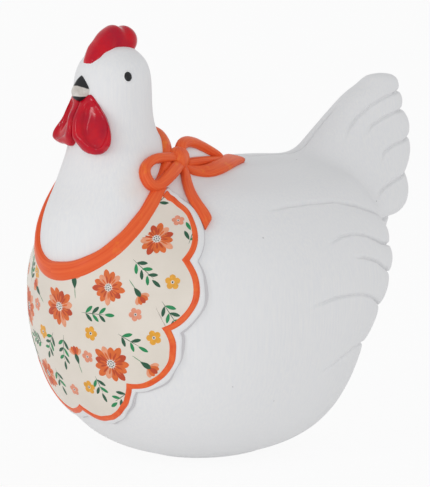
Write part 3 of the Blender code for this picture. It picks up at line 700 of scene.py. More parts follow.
# %% Loops of the bow
FRONT_LOOP = [
    (18.3, -32.6, 138.8, 2.6, 1.8, 1.8), (19.7, -37.8, 140.5, 2.1, 2.2, 2.4),
    (21.4, -44.2, 141.5, 1.8, 2.2, 2.6), (22.4, -49.8, 141.5, 1.6, 2.2, 2.7),
    (23.3, -54.2, 139.7, 1.5, 2.2, 2.7), (24.2, -56.3, 137.2, 1.5, 2.2, 2.7),
    (25.3, -56.4, 134.1, 1.5, 2.3, 2.7), (26.2, -54.8, 131.2, 1.7, 2.4, 2.7),
    (26.4, -51.7, 130.2, 1.9, 2.5, 2.7), (25.8, -47.9, 131.5, 2.3, 2.8, 2.6),
    (24.5, -43.8, 133.7, 2.5, 3.1, 2.4), (22.5, -39, 135.9, 2.6, 3.1, 2.2),
    (19.3, -33, 137.7, 2.4, 2.2, 1.8),
]
REAR_LOOP = [
    (20.4, -31.6, 142, 0, 1.8, 1.8), (19.8, -31.3, 144.5, 0, 2.4, 2.2), (18.5, -29.2, 146.7, 0, 2.6, 2.3),
    (16.7, -24.5, 147.5, 0, 2.6, 2.3), (15.2, -19.1, 146.5, 0, 2.5, 2.3), (14, -14.1, 144.6, 0, 2.4, 2.3),
    (13.4, -9, 142.2, 0, 2.3, 2.3), (13.1, -4.9, 140.1, 0, 2, 2.2), (13.3, -2.6, 138.5, 0, 1.7, 2),
    (14.3, -3.9, 137.5, 0, 1.7, 1.9), (15.2, -7.5, 137.5, 0, 1.9, 2), (16.6, -13.5, 137.7, 0, 2, 2.2),
    (18, -20.2, 138, 0, 2, 2.2), (19.3, -26.8, 138.4, 0, 1.8, 1.8),
]
DOWN_TAIL = [
    (18.6, -31, 137.4, 1.4, 1.8, 1.8), (20.4, -31.2, 135, 1.2, 2, 1.9), (22.8, -31.5, 132.6, 1, 2.2, 1.9),
    (26.4, -33.1, 129.7, 0.9, 2.4, 1.8), (32.1, -35.3, 125.6, 0.8, 2.5, 1.8),
    (38, -36.9, 121.9, 0.8, 2.7, 1.8), (43.3, -37.3, 117.9, 0.8, 2.8, 1.8),
    (47.4, -38, 114.2, 0.7, 2.7, 1.6),
]
REAR_TAIL = [
    (18.3, -29.4, 136.7, 1.4, 1.8, 1.8), (19.5, -25, 134, 1.3, 2.3, 1.8), (20.6, -20.4, 133, 1.4, 3, 1.8),
    (21.4, -16, 132.8, 1.6, 3.5, 1.7), (20.6, -10.5, 133.3, 1.9, 3.9, 1.7),
    (18, -3.2, 134.4, 2.1, 4.1, 1.6), (12.6, 7.4, 135.1, 2.2, 4.2, 1.5),
]
TAIL_LEAN = Vector((0.62, -0.45, 0.1))
TURN_SHARE, ENDING_SHARE = 0.4, 0.2
END_SHRINK, END_REACH = 0.86, 0.4


def middle_of(ring):
    return sum(ring[:-1], Vector()) / (len(ring) - 1)


def ribbon(name, stations, steps, flat, slant=0.0, dent=0.0, lean=None, root=1.0, free=False):
    """A ribbon along places on the skin, or free above it. A flat one keeps to one plane."""
    at = np.linspace(0, len(stations) - 1, steps)
    rows = [through(np.arange(len(stations)), row, at) for row in columns(stations)]
    places = [Vector(place) for place in zip(*rows[:3])]
    lift, half, thick = rows[3:]
    laid = [skin.near(place) for place in places]
    path = places if free else [spot + normal * up for (spot, normal), up in zip(laid, lift)]
    reach = steps if flat else 4
    rings = []
    for i, spot in enumerate(path):
        along = (path[min(i + 1, steps - 1)] - path[max(i - 1, 0)]).normalized()
        normal = sum((n for _, n in laid[max(i - reach, 0) : i + reach + 1]), Vector()).normalized()
        begun = min(1, i / (TURN_SHARE * steps))
        if lean:
            normal = (normal + lean * begun).normalized()
        ending = max(0, i / (steps - 1) - 1 + ENDING_SHARE) / ENDING_SHARE
        section = ribbon_section(half[i], thick[i], 20, dent * (1 - ending), 1 + (root - 1) * begun)
        rings.append(ring_about(spot, along, normal, section, slant * ending))
    end = middle_of(rings[-1])
    rings.append([end + (point - end) * END_SHRINK + along * END_REACH for point in rings[-1]])
    return wrapped(name, ends_drawn(rings, middle_of(rings[0]), middle_of(rings[-1])))


front_loop = ribbon("front_loop", FRONT_LOOP, 90, True)
rear_loop = ribbon("rear_loop", REAR_LOOP, 100, True, free=True)
print("loops:", [len(p.data.polygons) for p in (front_loop, rear_loop)], "faces")

# %% Casting that fills the rear loop
WEB_FRONT, WEB_BACK = -0.2, -1.4


def loop_web():
    """A thin plate in the plane of the rear loop, between two distances from that plane."""
    spots = [Vector(row[:3]) for row in REAR_LOOP]
    middle = sum(spots, Vector()) / len(spots)
    turns = [(a - middle).cross(b - middle) for a, b in zip(spots, spots[1:])]
    out = sum(turns, Vector()).normalized()
    out *= math.copysign(1, out.x)
    rings = [closed_ring([spot + out * far for spot in spots]) for far in (WEB_FRONT, WEB_BACK)]
    return wrapped("loop_web", ends_drawn(rings, middle + out * WEB_FRONT, middle + out * WEB_BACK))


rear_web = loop_web()
print("web:", len(rear_web.data.polygons), "faces")

# %% Ends of the bow
down_tail = ribbon("down_tail", DOWN_TAIL, 60, False, slant=0.95, dent=0.2)
rear_tail = ribbon("rear_tail", REAR_TAIL, 60, False, slant=0.75, dent=0.3, lean=TAIL_LEAN, root=3)
print("ends:", [len(p.data.polygons) for p in (down_tail, rear_tail)], "faces")

# %% [markdown]
# The knot is a small pinched lump. It starts as a sphere that is pulled in along a few lines, as cloth
# creases where it is tied.

# %% Knot
KNOT_PLACE, KNOT_LIFT = (18.6, -34, 139.3), 2.3
KNOT_HALF = Vector((4.6, 5.6, 5.8))
CREASE_DEPTH = 0.06


def knot_piece():
    spot, normal = skin.near(KNOT_PLACE)
    middle = spot + normal * KNOT_LIFT
    bpy.ops.object.select_all(action="DESELECT")
    bpy.ops.mesh.primitive_uv_sphere_add(segments=64, ring_count=40, radius=1)
    piece = bpy.context.object
    piece.name = "knot"
    for corner in piece.data.vertices:
        turn = math.atan2(corner.co.y, corner.co.x)
        crease = CREASE_DEPTH * math.cos(4 * turn + 1.8 * corner.co.z + 0.6) * (1 - corner.co.z**2)
        corner.co = (middle + (corner.co * (1 + crease)) * KNOT_HALF) * MM
    bpy.ops.object.shade_smooth()
    return piece


knot = knot_piece()
print("bow at", [round(c, 1) for c in skin.near(KNOT_PLACE)[0]])

# %% [markdown]
# ## Comb
# The comb is a fleshy crest with two soft lobes on top and a shallow flute down each side. Its
# sections are ovals set across the hen from front to back, and the flutes are dents in their width.

# %% Comb
COMB_SECTIONS = [
    (-68.5, 182.3, 187, 3), (-66, 182.5, 191.6, 5.2), (-63, 183.5, 195, 5.5), (-60, 184.5, 198, 6.4),
    (-57, 185, 200, 6.2), (-54, 185.5, 200.95, 6.7), (-50.8, 186, 199.9, 6.65),
    (-47.5, 186.5, 200.4, 6.6),
    (-44.5, 188.6, 198.8, 5.3), (-42.5, 190.4, 196.8, 3.4),
]
COMB_ENDS = (-69.6, -41.4)
COMB_POWER = 2.3
FLUTE_FOOT, FLUTE_SLOPE, FLUTE_HALF, FLUTE_DEPTH = (-59.5, 197.5), 0.86, 1.25, 0.19
SADDLE_AT, SADDLE_HALF, SADDLE_DEPTH = -50.9, 1.6, 0.02


def comb_piece():
    y, foot, crest, half = columns(COMB_SECTIONS)
    rings = []
    for at in np.linspace(y[0], y[-1], 90):
        f, c, h = (through(y, v, at) for v in (foot, crest, half))
        ring = []
        for t in full_turn(48):
            a, b = math.cos(t), math.sin(t)
            across = h * curved(a, 2 / COMB_POWER)
            height = (c - f) / 2 * curved(b, 2 / COMB_POWER) + (c + f) / 2
            saddle = max(0, b) ** 4 * hump(at - SADDLE_AT, SADDLE_HALF)
            beside = at - FLUTE_FOOT[0] + FLUTE_SLOPE * (FLUTE_FOOT[1] - height)
            flute = eased(-0.7, 0, b) * eased(-0.98, -0.8, -b) * hump(beside, FLUTE_HALF)
            dent = FLUTE_DEPTH * flute + SADDLE_DEPTH * saddle
            ring.append((across * (1 - dent * abs(a)), at, height))
        rings.append(closed_ring(ring))
    middle = (foot + crest) / 2
    ends = [(0, COMB_ENDS[0], middle[0]), (0, COMB_ENDS[1], middle[-1])]
    return wrapped("comb", ends_drawn(rings, *ends))


comb = comb_piece()
modified(comb, "SMOOTH", factor=0.5, iterations=4)
print("comb:", len(comb.data.polygons), "faces")

# %% [markdown]
# ## Wattles
# Each wattle is a drop-shaped lobe with a rolled rim round a shallow dish, and its outer edge stands
# away from the neck. Two outlines, of the lobe and of the dish, are given as turns and heights about
# the neck. A profile says how high the skin stands: up to 1 it runs from the middle to the dish's
# edge, and from 1 to 2 over the rim. The right one is a little shorter, as a hand made it.

# %% Wattles
WATTLE_EDGE = [
    (0.9, 167.6), (8.6, 169.4), (20.5, 170.8), (27.2, 169.2), (34.8, 166.3), (41.8, 163.1), (47.4, 159.7),
    (50.7, 156.4), (51.8, 153.1), (51.1, 150.2), (47.9, 147.5), (42.9, 145.8), (37.4, 145), (30.9, 144.8),
    (24.1, 145.1), (17.3, 145.9), (11.7, 147), (6.5, 148.8), (3, 151.2), (1.4, 154.3), (0.8, 157.8),
    (0.8, 161.5), (0.9, 165.3),
]
WATTLE_DISH = [
    (21.8, 167.4), (16.1, 166.3), (12.9, 163.8), (12.6, 160.3), (13.2, 157.3), (15.4, 154.7), (19.9, 151.8),
    (26, 149.4), (31.9, 148.1), (38.3, 148.1), (43.8, 149.8), (46.9, 152.3), (48.2, 155), (47.6, 157.8),
    (44.3, 161.3), (39.1, 164.1), (31.8, 166.9), (27.2, 167.9),
]
WATTLE_MIDDLE = np.array((31, 157))
WATTLE_PROFILE = [
    (2, -3), (2.03, -0.8), (2.04, 0.7), (2, 1.4), (1.88, 2), (1.7, 2.45), (1.45, 2.65), (1.22, 2.55),
    (1.09, 2.2), (1.01, 1.6), (0.97, 1), (0.93, 0.55), (0.87, 0.25), (0.78, 0.12), (0.6, 0.1), (0.4, 0.2),
    (0.2, 0.3), (0.1, 0.3),
]
WATTLE_FLARE, FLARE_HEIGHT, FLARE_ABOVE, FLARE_BELOW, FLARE_TURN = 6.2, 150.6, 8.0, 3.4, 52
WATTLE_KEEL, KEEL_TURN, KEEL_HEIGHTS = 2.8, 14, (147, 153, 158, 169)
WATTLE_THIN, THIN_HEIGHTS = 0.6, (161, 169)
RIGHT_SHORTER, SHORTER_TURNS = 0.24, (5, 25)
WATTLE_ROOT, DISH_MIDDLE = -3, 0.3
WATTLE_STEPS = 140


def reach_of(outline, turns):
    """How far an outline lies from the wattle's middle in each direction."""
    away = np.array(outline) - WATTLE_MIDDLE
    angle = np.arctan2(away[:, 1], away[:, 0])
    order = np.argsort(angle)
    angle, far = angle[order], np.hypot(*away.T)[order]
    angle = np.r_[angle[-3:] - 2 * math.pi, angle, angle[:3] + 2 * math.pi]
    far = np.r_[far[-3:], far, far[:3]]
    return through(angle, far, turns)


def wattle_piece(name, side):
    turns = np.linspace(0, 2 * math.pi, WATTLE_STEPS + 1) - math.pi
    turns[-1] = turns[0]
    ways = np.stack([np.cos(turns), np.sin(turns)], 1)
    edge, dish = reach_of(WATTLE_EDGE, turns), reach_of(WATTLE_DISH, turns)

    def place(plan, raised):
        turn, height = plan
        if side < 0:
            height += RIGHT_SHORTER * eased(*SHORTER_TURNS, turn) * max(0, WATTLE_MIDDLE[1] - height)
        spot, _ = skin.at_turn(NECK_AXIS_Y, side * turn, height)
        way = way_at(side * turn)
        if raised < 0:
            return spot + way * raised
        reach = FLARE_ABOVE if height > FLARE_HEIGHT else FLARE_BELOW
        flare = WATTLE_FLARE * max(0, turn / FLARE_TURN) ** 1.5 * hump(height - FLARE_HEIGHT, reach)
        keel = WATTLE_KEEL * hump(turn, KEEL_TURN)
        keel *= eased(*KEEL_HEIGHTS[:2], height) * (1 - eased(*KEEL_HEIGHTS[2:], height))
        thin = 1 - WATTLE_THIN * eased(*THIN_HEIGHTS, height)
        return spot + way * (raised * thin + flare + keel)

    rings = []
    for share, raised in WATTLE_PROFILE:
        far = dish * min(share, 1) + (edge - dish) * max(share - 1, 0)
        rings.append([place(WATTLE_MIDDLE + w * f, raised) for w, f in zip(ways, far)])
    piece = wrapped(name, ends_drawn(rings, *(place(WATTLE_MIDDLE, r) for r in (WATTLE_ROOT, DISH_MIDDLE))))
    return modified(piece, "SMOOTH", factor=0.5, iterations=1)


left_wattle = wattle_piece("left_wattle", 1)
right_wattle = wattle_piece("right_wattle", -1)
print("each wattle:", len(left_wattle.data.polygons), "faces")

# %% [markdown]
# ## Beak and eyes
# The beak is a short blunt cone with a ridge on top. The eyes are painted black ovals on a low bump, each
# inside a pale rim. Both are small, so what counts is a clean outline.

# %% Beak
BEAK_SECTIONS = [
    (-62, 173, 5.3, 8, 6.6), (-68, 173, 5.3, 7, 6.2), (-72, 172.8, 5, 5.7, 5.4),
    (-74.4, 172.2, 4, 3.2, 4.1), (-75.6, 171.7, 2.4, 1.6, 2.6),
]
BEAK_TIP = (0, -76.1, 171.2)
BEAK_RIDGE, BEAK_LEAN = 1.45, 0.9


def beak_piece():
    y, middle, half, up, down = columns(BEAK_SECTIONS)
    at = np.arange(len(y))
    rings = []
    for k in np.linspace(0, len(y) - 1, 30):
        yy, m, w, u, d = (through(at, row, k) for row in (y, middle, half, up, down))
        ring = []
        for t in full_turn(40):
            c, s = math.cos(t), math.sin(t)
            power, reach = (BEAK_RIDGE, u) if s > 0 else (1, d)
            across = w * curved(c, power) - BEAK_LEAN * max(0, s) ** 2
            ring.append((across, yy, m + reach * curved(s, power)))
        rings.append(closed_ring(ring))
    piece = wrapped("beak", ends_drawn(rings, (0, y[0], middle[0]), BEAK_TIP))
    return modified(piece, "SMOOTH", factor=0.5, iterations=3)


beak = beak_piece()
print("beak:", len(beak.data.polygons), "faces")

# %% Eyes and their rims
EYE_PLACE, EYE_HALF = (16.2, -58.3, 178.9), (1.8, 2.15)
EYE_PROFILE = [(0.9, -1.5), (1, -0.2), (0.98, 0.25), (0.88, 0.5), (0.65, 0.72), (0.35, 0.85)]
RIM_PROFILE = [
    (1.25, -1.5), (1.35, -0.1), (1.3, 0.2), (1.18, 0.4), (1.05, 0.35), (0.96, 0.1), (0.9, -1.5),
]


def eye_rings(side, profile):
    spot, normal = skin.near((EYE_PLACE[0] * side, *EYE_PLACE[1:]))
    across, up = upright_axes(normal)
    rings = []
    for share, raised in profile:
        ring = []
        for t in full_turn(40):
            flat = across * EYE_HALF[0] * math.cos(t) + up * EYE_HALF[1] * math.sin(t)
            ring.append(spot + flat * share + normal * raised)
        rings.append(closed_ring(ring))
    return rings, spot, normal


eyes, eye_rims = [], []
for side, name in ((1, "left"), (-1, "right")):
    rings, spot, normal = eye_rings(side, EYE_PROFILE)
    eyes.append(wrapped(name + "_eye", ends_drawn(rings, spot - normal * 1.5, spot + normal * 0.9)))
    rings, _, _ = eye_rings(side, RIM_PROFILE)
    eye_rims.append(wrapped(name + "_eye_rim", rings + [rings[0]]))
print("eyes at", [round(c, 1) for c in skin.near(EYE_PLACE)[0]])

# %% [markdown]
# ## Flowers on the bib
# The bib carries a scattered print of common garden flowers: daisies, small five-petalled blossoms, buds
# and leafy sprigs. A printed pattern could be an image, but shapes that are laid on the panel as very thin
# pads keep sharp edges at any distance. Each petal or leaf is a small grid that bulges in the middle, all
# of one colour are joined into one piece, and a Solidify modifier gives them their paint's thickness.

# %% Petals and leaves as thin pads
panel = Surface(bib_panel)
PAD_SINK = 0.25
BIB_RADIUS = 68
DEGREE_SPAN = BIB_RADIUS * math.radians(1)
PAD_CELLS = (8, 4)
PETAL_POWER, TIP_HALF = 0.6, 0.04
DISC_SHARES = (1, 0.55, 0.02)
pads = {}


def on_panel(place, lift):
    """The point at a lift over the panel that lies nearest to a place."""
    spot, normal = panel.near(place)
    return spot + normal * lift


def inside_border(spot):
    """Whether a point lies within the painted border and below the strap."""
    turn, height = turn_and_height(spot)
    away = np.array((turn, height)) - BIB_MIDDLE
    way = math.atan2(away[1], away[0])
    if height > np.interp(turn, top_edge[::-1, 0], top_edge[::-1, 1]) + 1:
        return False
    if FIRST_WAY < way < LAST_WAY + 2 * math.pi:
        return True
    return np.linalg.norm(away) < np.linalg.norm(edge_at(way, 0.4) - BIB_MIDDLE)


def pad(colour, centre, angle, length, width, start=0.0, lift=0.03, blunt=1.0):
    """One petal or leaf: it starts at a distance from a centre (turn, height) and points at an angle."""
    spot, normal = skin.at_turn(BIB_AXIS_Y, *centre)
    across, up = upright_axes(normal)
    ahead = across * math.cos(angle) + up * math.sin(angle)
    aside = normal.cross(ahead)
    rows = []
    for t in (1 - np.cos(np.linspace(0, math.pi, PAD_CELLS[0] + 1))) / 2:
        half = width / 2 * math.sin(math.pi * t**blunt) ** PETAL_POWER if 0 < t < 1 else TIP_HALF
        middle = spot + ahead * (start + length * t) + normal * BIB_RAISE
        sides = np.linspace(-half, half, PAD_CELLS[1] + 1)
        rows.append([on_panel(middle + aside * side, lift) for side in sides])
    centre_point = rows[PAD_CELLS[0] // 2][PAD_CELLS[1] // 2]
    if any(inside_border(place) for place in (centre_point, rows[0][0], rows[-1][0])):
        pads.setdefault(colour, []).append(rows)


def disc(colour, centre, radius, lift=0.09, offset=(0, 0), steps=10):
    """A small round dot, made of three rings round its centre."""
    spot, normal = skin.at_turn(BIB_AXIS_Y, *centre)
    across, up = upright_axes(normal)
    base = spot + across * offset[0] + up * offset[1] + normal * BIB_RAISE
    turns = np.linspace(0, 2 * math.pi, steps + 1)
    circle = [(across * math.cos(t) + up * math.sin(t)) * radius for t in turns]
    rows = [[on_panel(base + out * share, lift) for out in circle] for share in DISC_SHARES]
    if inside_border(rows[2][0]):
        pads.setdefault(colour, []).append(rows)


# %% Motifs of the print
DAISY_PETALS = 13


def daisy(centre, size, turn=0.0):
    """A daisy with thirteen round-tipped petals in three oranges, and a pale dotted heart."""
    order = ["orange", "peach", "orange", "rust", "orange"]
    for k in range(DAISY_PETALS):
        colour = order[(k + int(turn * 7)) % len(order)]
        long = size * (0.42, 0.47, 0.38)[k % 3]
        angle = turn + k * 2 * math.pi / DAISY_PETALS
        pad(colour, centre, angle, long, size * 0.19, size * 0.07, 0.03 + 0.015 * (k % 3), 1.7)
        streak = "rust" if colour == "orange" else "orange"
        pad(streak, centre, angle + 0.05, long * 0.5, size * 0.05, size * 0.12, 0.08, 1.2)
    disc("white_heart", centre, size * 0.115, 0.1, steps=16)
    for k in range(8):
        away = 0 if k == 7 else size * 0.072
        spot = (away * math.cos(turn + k * 0.9), away * math.sin(turn + k * 0.9))
        disc("dot", centre, size * 0.018, 0.15, spot, 8)


def blossom(centre, size, colour, turn=0.0):
    """A small five-petalled blossom with a pale heart and a dark dot."""
    for k in range(5):
        pad(colour, centre, turn + k * 2 * math.pi / 5, size * 0.46, size * 0.4, size * 0.03, 0.05, 1.5)
    disc("white_heart", centre, size * 0.11, 0.09, steps=12)
    disc("dot", centre, size * 0.055, 0.13, steps=8)


def moved(centre, angle, far):
    """A place at a distance in mm from another, in the plan of turn (in degrees) and height."""
    return (centre[0] + far * math.cos(angle) / DEGREE_SPAN, centre[1] + far * math.sin(angle))


def leaf(centre, angle, length, dark):
    pad("dark_leaf" if dark else "leaf", centre, angle, length, length * 0.36, 0.3, 0.04, 1.15)


def sprig(centre, angle, length, pairs, dark_first):
    """A thin stem with pairs of leaves along it and one at its tip."""
    pad("dark_leaf", centre, angle, length * 0.92, 0.3, 0, 0.035)
    for k in range(pairs):
        at_stem = moved(centre, angle, length * (0.16 + 0.78 * k / pairs))
        dark = (k % 2 == 0) == dark_first
        leaf(at_stem, angle + 0.72, 4.9 - 0.2 * k, dark)
        leaf(at_stem, angle - 0.78, 4.7 - 0.2 * k, not dark)
    leaf(moved(centre, angle, length * 0.88), angle, 4.8, dark_first)


def bud(centre, angle, size):
    """A bud that opens at the end of a green cup, on a stem."""
    for k, colour in zip((-2, 2, -1, 1, 0), ("peach", "peach", "orange", "orange", "rust")):
        lift = 0.06 - 0.01 * abs(k)
        pad(colour, centre, angle + k * 0.38, size * 0.5, size * 0.24, size * 0.06, lift, 1.7)
    cup, stem = (moved(centre, angle + math.pi, size * far) for far in (0.36, 0.8))
    pad("dark_leaf", cup, angle, size * 0.55, size * 0.26, 0, 0.09, 1.5)
    pad("leaf", stem, angle, size * 0.5, 0.3, 0, 0.05)


# %% [markdown]
# The motifs are set out one by one in an order of their own, larger ones first and small ones in the gaps,
# with the tilt of each changed a little so that the pattern looks scattered and not ruled.

# %% Lay out the print
DAISIES = [(2, 77, 18, 0.2), (26, 54, 18, 0.5), (44, 108, 16, 0.9), (-27, 72, 18, 0.1),
           (-47, 105, 16, 0.6), (-20, 42, 15, 0.8), (26, 88, 15, 1.3)]
YELLOW_BLOSSOMS = [(18, 67, 7), (44, 67, 7), (12, 41, 7), (-12, 63, 7), (51, 91, 7), (-43, 88, 7),
                   (-14, 90, 6.5), (-38, 55, 7)]
BLUSH_BLOSSOMS = [(15, 56, 6.3), (-15, 75, 6.3), (37, 77, 6.3), (-52, 120, 6.3), (-31, 88, 6.3),
                  (1, 38, 6), (-45, 68, 6.3), (54, 115, 6)]
SPRIGS = [(3, 64, -1.8, 14, 3), (14, 76, 0, 14, 3), (35, 100, -0.7, 14, 3), (47, 83, -1, 14, 3),
          (58, 106, 1.2, 10, 2), (32, 41, 3.8, 10, 2), (17, 47, -1.3, 9, 2), (30, 68, -0.5, 12, 2),
          (-4, 64, -2.2, 13, 3), (-15, 57, 3, 12, 3), (-37, 78, 1.6, 13, 3), (-48, 80, 2.2, 10, 2),
          (-36, 99, 1.5, 12, 3), (-22, 84, 1.3, 11, 3), (-10, 46, -1.4, 9, 2), (-56, 96, 2.2, 10, 2),
          (-33, 60, -1.4, 12, 3), (41, 122, 0.6, 9, 2), (-44, 124, 2.4, 9, 2)]
BUDS = [(11, 90, 1.6, 10), (41, 54, -0.6, 10), (-14, 82, 2.4, 9.5), (9, 55, 1.7, 9.5), (-39, 68, 1.9, 9),
        (-28, 100, 2.2, 9), (38, 86, -0.9, 9)]

for turn, height, size, tilt in DAISIES:
    daisy((turn, height), size, tilt)
for k, (turn, height, size) in enumerate(YELLOW_BLOSSOMS + BLUSH_BLOSSOMS):
    blossom((turn, height), size, "yellow" if k < len(YELLOW_BLOSSOMS) else "blush", 0.7 * k)
for k, (turn, height, angle, length, pairs) in enumerate(SPRIGS):
    sprig((turn, height), angle, length, pairs, k % 2 == 0)
for turn, height, angle, size in BUDS:
    bud((turn, height), angle, size)
print({colour: len(rows) for colour, rows in pads.items()}, "pads")


# %% Join the pads of each colour
def print_piece(colour, sheets):
    """All pads of one colour as one piece, with the thickness of a coat of paint."""
    points, faces = [], []
    for rows in sheets:
        wide = len(rows[0])
        for r in range(len(rows) - 1):
            starts = [len(points) + r * wide + c for c in range(wide - 1)]
            faces += [(i, i + 1, i + wide + 1, i + wide) for i in starts]
        points += [place * MM for row in rows for place in row]
    data = bpy.data.meshes.new("print_" + colour)
    data.from_pydata(points, [], faces)
    piece = bpy.data.objects.new("print_" + colour, data)
    bpy.context.scene.collection.objects.link(piece)
    only(piece)
    bpy.ops.object.mode_set(mode="EDIT")
    bpy.ops.mesh.select_all(action="SELECT")
    bpy.ops.mesh.remove_doubles(threshold=1e-8)
    bpy.ops.object.mode_set(mode="OBJECT")
    inward = [f.index for f in piece.data.polygons if f.normal.dot(panel.near(f.center / MM)[1]) < 0]
    for index in inward:
        piece.data.polygons[index].flip()
    modified(piece, "SOLIDIFY", thickness=PAD_SINK * MM, offset=-1, use_even_offset=False)
    only(piece)
    bpy.ops.object.shade_smooth_by_angle(angle=math.radians(40))
    return piece


prints = {colour: print_piece(colour, sheets) for colour, sheets in pads.items()}
print("print pieces:", {c: len(p.data.polygons) for c, p in prints.items()})

# %% [markdown]
# ## Finishes
# The paints differ more in their gloss than in their colour. The white is chalky and was brushed on in
# upright strokes, the red is thick enamel that mirrors the lamps, and the orange lies between the two, with
# streaks along the ribbon. Each finish is a small set of nodes: a base colour that is broken up by a
# stretched noise, a roughness that follows it, and a little bump for the brush.


# %% Small helpers for finishes
def paint(name, colour, roughness, gloss):
    """A new paint with its steady values on the shader itself."""
    made = bpy.data.materials.new(name)
    made.use_nodes = True
    shader = made.node_tree.nodes["Principled BSDF"]
    shader.inputs["Base Color"].default_value = (*colour, 1)
    shader.inputs["Roughness"].default_value = roughness
    shader.inputs["Specular IOR Level"].default_value = gloss
    return made, made.node_tree, shader


def node(tree, kind, **inputs):
    """A node with the given inputs set to numbers or linked to other nodes' outputs."""
    made = tree.nodes.new(kind)
    for name, value in inputs.items():
        by_number = name[0] == "i" and name[1:].isdigit()
        socket = made.inputs[int(name[1:]) if by_number else name.replace("_", " ")]
        if isinstance(value, bpy.types.NodeSocket):
            tree.links.new(value, socket)
        else:
            socket.default_value = value
    return made


def maths(tree, operation, *values):
    """The result of a sum on numbers or on other nodes' outputs."""
    made = node(tree, "ShaderNodeMath", **{f"i{k}": value for k, value in enumerate(values)})
    made.operation = operation
    return made.outputs[0]


def place_of(tree, scale=1, kind="Object"):
    """Coordinates of the surface, stretched by one scale or by three."""
    source = tree.nodes.new("ShaderNodeTexCoord").outputs[kind]
    stretch = scale if isinstance(scale, tuple) else (scale, scale, scale)
    return node(tree, "ShaderNodeMapping", Vector=source, Scale=stretch).outputs[0]


def one_axis(tree, where, number):
    return node(tree, "ShaderNodeSeparateXYZ", Vector=where).outputs[number]


def noise(tree, scale, detail=3.0, roughness=0.55, kind="Object"):
    where = place_of(tree, scale, kind)
    made = node(tree, "ShaderNodeTexNoise", Vector=where, Scale=1, Detail=detail, Roughness=roughness)
    return made.outputs["Fac"]


def ranged(tree, value, low, high, to_low, to_high):
    made = node(tree, "ShaderNodeMapRange", i0=value, i1=low, i2=high, i3=to_low, i4=to_high)
    return made.outputs[0]


def mixed(tree, share, first, second):
    """Two colours mixed by a share. A colour may be a tuple or another node's output."""
    made = tree.nodes.new("ShaderNodeMix")
    made.data_type = "RGBA"
    for socket, value in ((made.inputs[0], share), (made.inputs[6], first), (made.inputs[7], second)):
        if isinstance(value, bpy.types.NodeSocket):
            tree.links.new(value, socket)
        else:
            socket.default_value = (*value, 1) if isinstance(value, tuple) else value
    return made.outputs[2]


def dressed(tree, shader, colour, roughness=None, bump=None):
    """Links a colour, a roughness and a bump of (height, strength, distance) to the shader."""
    tree.links.new(colour, shader.inputs["Base Color"])
    if roughness:
        tree.links.new(roughness, shader.inputs["Roughness"])
    if bump:
        height, strength, distance = bump
        made = node(tree, "ShaderNodeBump", Height=height, Strength=strength, Distance=distance)
        tree.links.new(made.outputs[0], shader.inputs["Normal"])


# %% [markdown]
# The white paint shows fine upright brush strokes, a few tiny dark grey specks, and a faint
# warm smudge by the front loop where the orange brush touched the neck. At the foot of the bib's plate a
# thin grey line of painted shade darkens the crease; it is found by the plate's own map.

# %% Chalky white
WHITE, WHITE_WARM, WHITE_COOL = (0.755, 0.757, 0.765), (0.775, 0.774, 0.772), (0.735, 0.74, 0.755)
SMUDGE = Vector((24.5, -61, 131)) * MM
SMUDGE_NEAR, SMUDGE_FAR = 2 * MM, 11 * MM
# The foot grey is painted shade for the crease at the foot of the bib's plate.
SPECK_GREY, SMUDGE_TINT, FOOT_SHADE_GREY = (0.2, 0.19, 0.18), (0.72, 0.56, 0.47), (0.58, 0.565, 0.58)
FOOT_SOFT = 0.004


def white_finish(name, foot=None):
    """Chalky white. A foot is a span of the piece's own map in which a grey line of painted shade darkens
    the crease.
    """
    made, tree, shader = paint(name, WHITE, 0.62, 0.3)
    strokes = noise(tree, (1000, 1000, 75), 4, 0.6)
    clouds = noise(tree, (28, 28, 20))
    grain = noise(tree, 1400, 2)
    colour = mixed(tree, ranged(tree, strokes, 0.35, 0.65, 0, 1), WHITE_COOL, WHITE_WARM)
    colour = mixed(tree, ranged(tree, clouds, 0.4, 0.7, 0, 0.5), colour, WHITE)
    # A few tiny dark grey specks, scattered by a cell pattern.
    cells = node(tree, "ShaderNodeTexVoronoi", Vector=place_of(tree, 60), Scale=1)
    chosen = node(tree, "ShaderNodeSeparateColor", Color=cells.outputs["Color"]).outputs[0]
    speck = ranged(tree, cells.outputs["Distance"], 0.018, 0.03, 1, 0)
    specks = maths(tree, "MULTIPLY", speck, ranged(tree, chosen, 0.62, 0.63, 0, 0.8))
    colour = mixed(tree, specks, colour, SPECK_GREY)
    away = node(tree, "ShaderNodeVectorMath", i0=place_of(tree), i1=SMUDGE)
    away.operation = "DISTANCE"
    near = ranged(tree, away.outputs["Value"], SMUDGE_NEAR, SMUDGE_FAR, 0.5, 0)
    blot = maths(tree, "MULTIPLY", near, ranged(tree, clouds, 0.35, 0.6, 0.2, 1))
    colour = mixed(tree, blot, colour, SMUDGE_TINT)
    # Painted shade: a thin grey line darkens the crease at the foot of the bib's plate.
    if foot:
        layer = one_axis(tree, place_of(tree, kind="UV"), 1)
        begun = ranged(tree, layer, foot[0] - FOOT_SOFT, foot[0], 0, 1)
        ended = ranged(tree, layer, foot[1], foot[1] + FOOT_SOFT, 1, 0)
        colour = mixed(tree, maths(tree, "MULTIPLY", begun, ended), colour, FOOT_SHADE_GREY)
    relief = maths(tree, "ADD", strokes, ranged(tree, grain, 0, 1, 0, 0.5))
    roughness = ranged(tree, strokes, 0.3, 0.7, 0.55, 0.72)
    dressed(tree, shader, colour, roughness, (relief, 0.3, 0.00012))
    return made


white_paint = white_finish("white_paint")
# The plate's white carries a grey line of painted shade in the crease at its foot.
plate_paint_with_shade = white_finish("plate_paint_with_shade", PLATE_SHADE_SPAN)

# %% [markdown]
# Enamel mirrors small lamps sharply, but it must not mirror so much of the white room that the red
# turns pink. So its roughness and its gloss are both low. A slightly uneven roughness keeps it from
# looking like plastic.


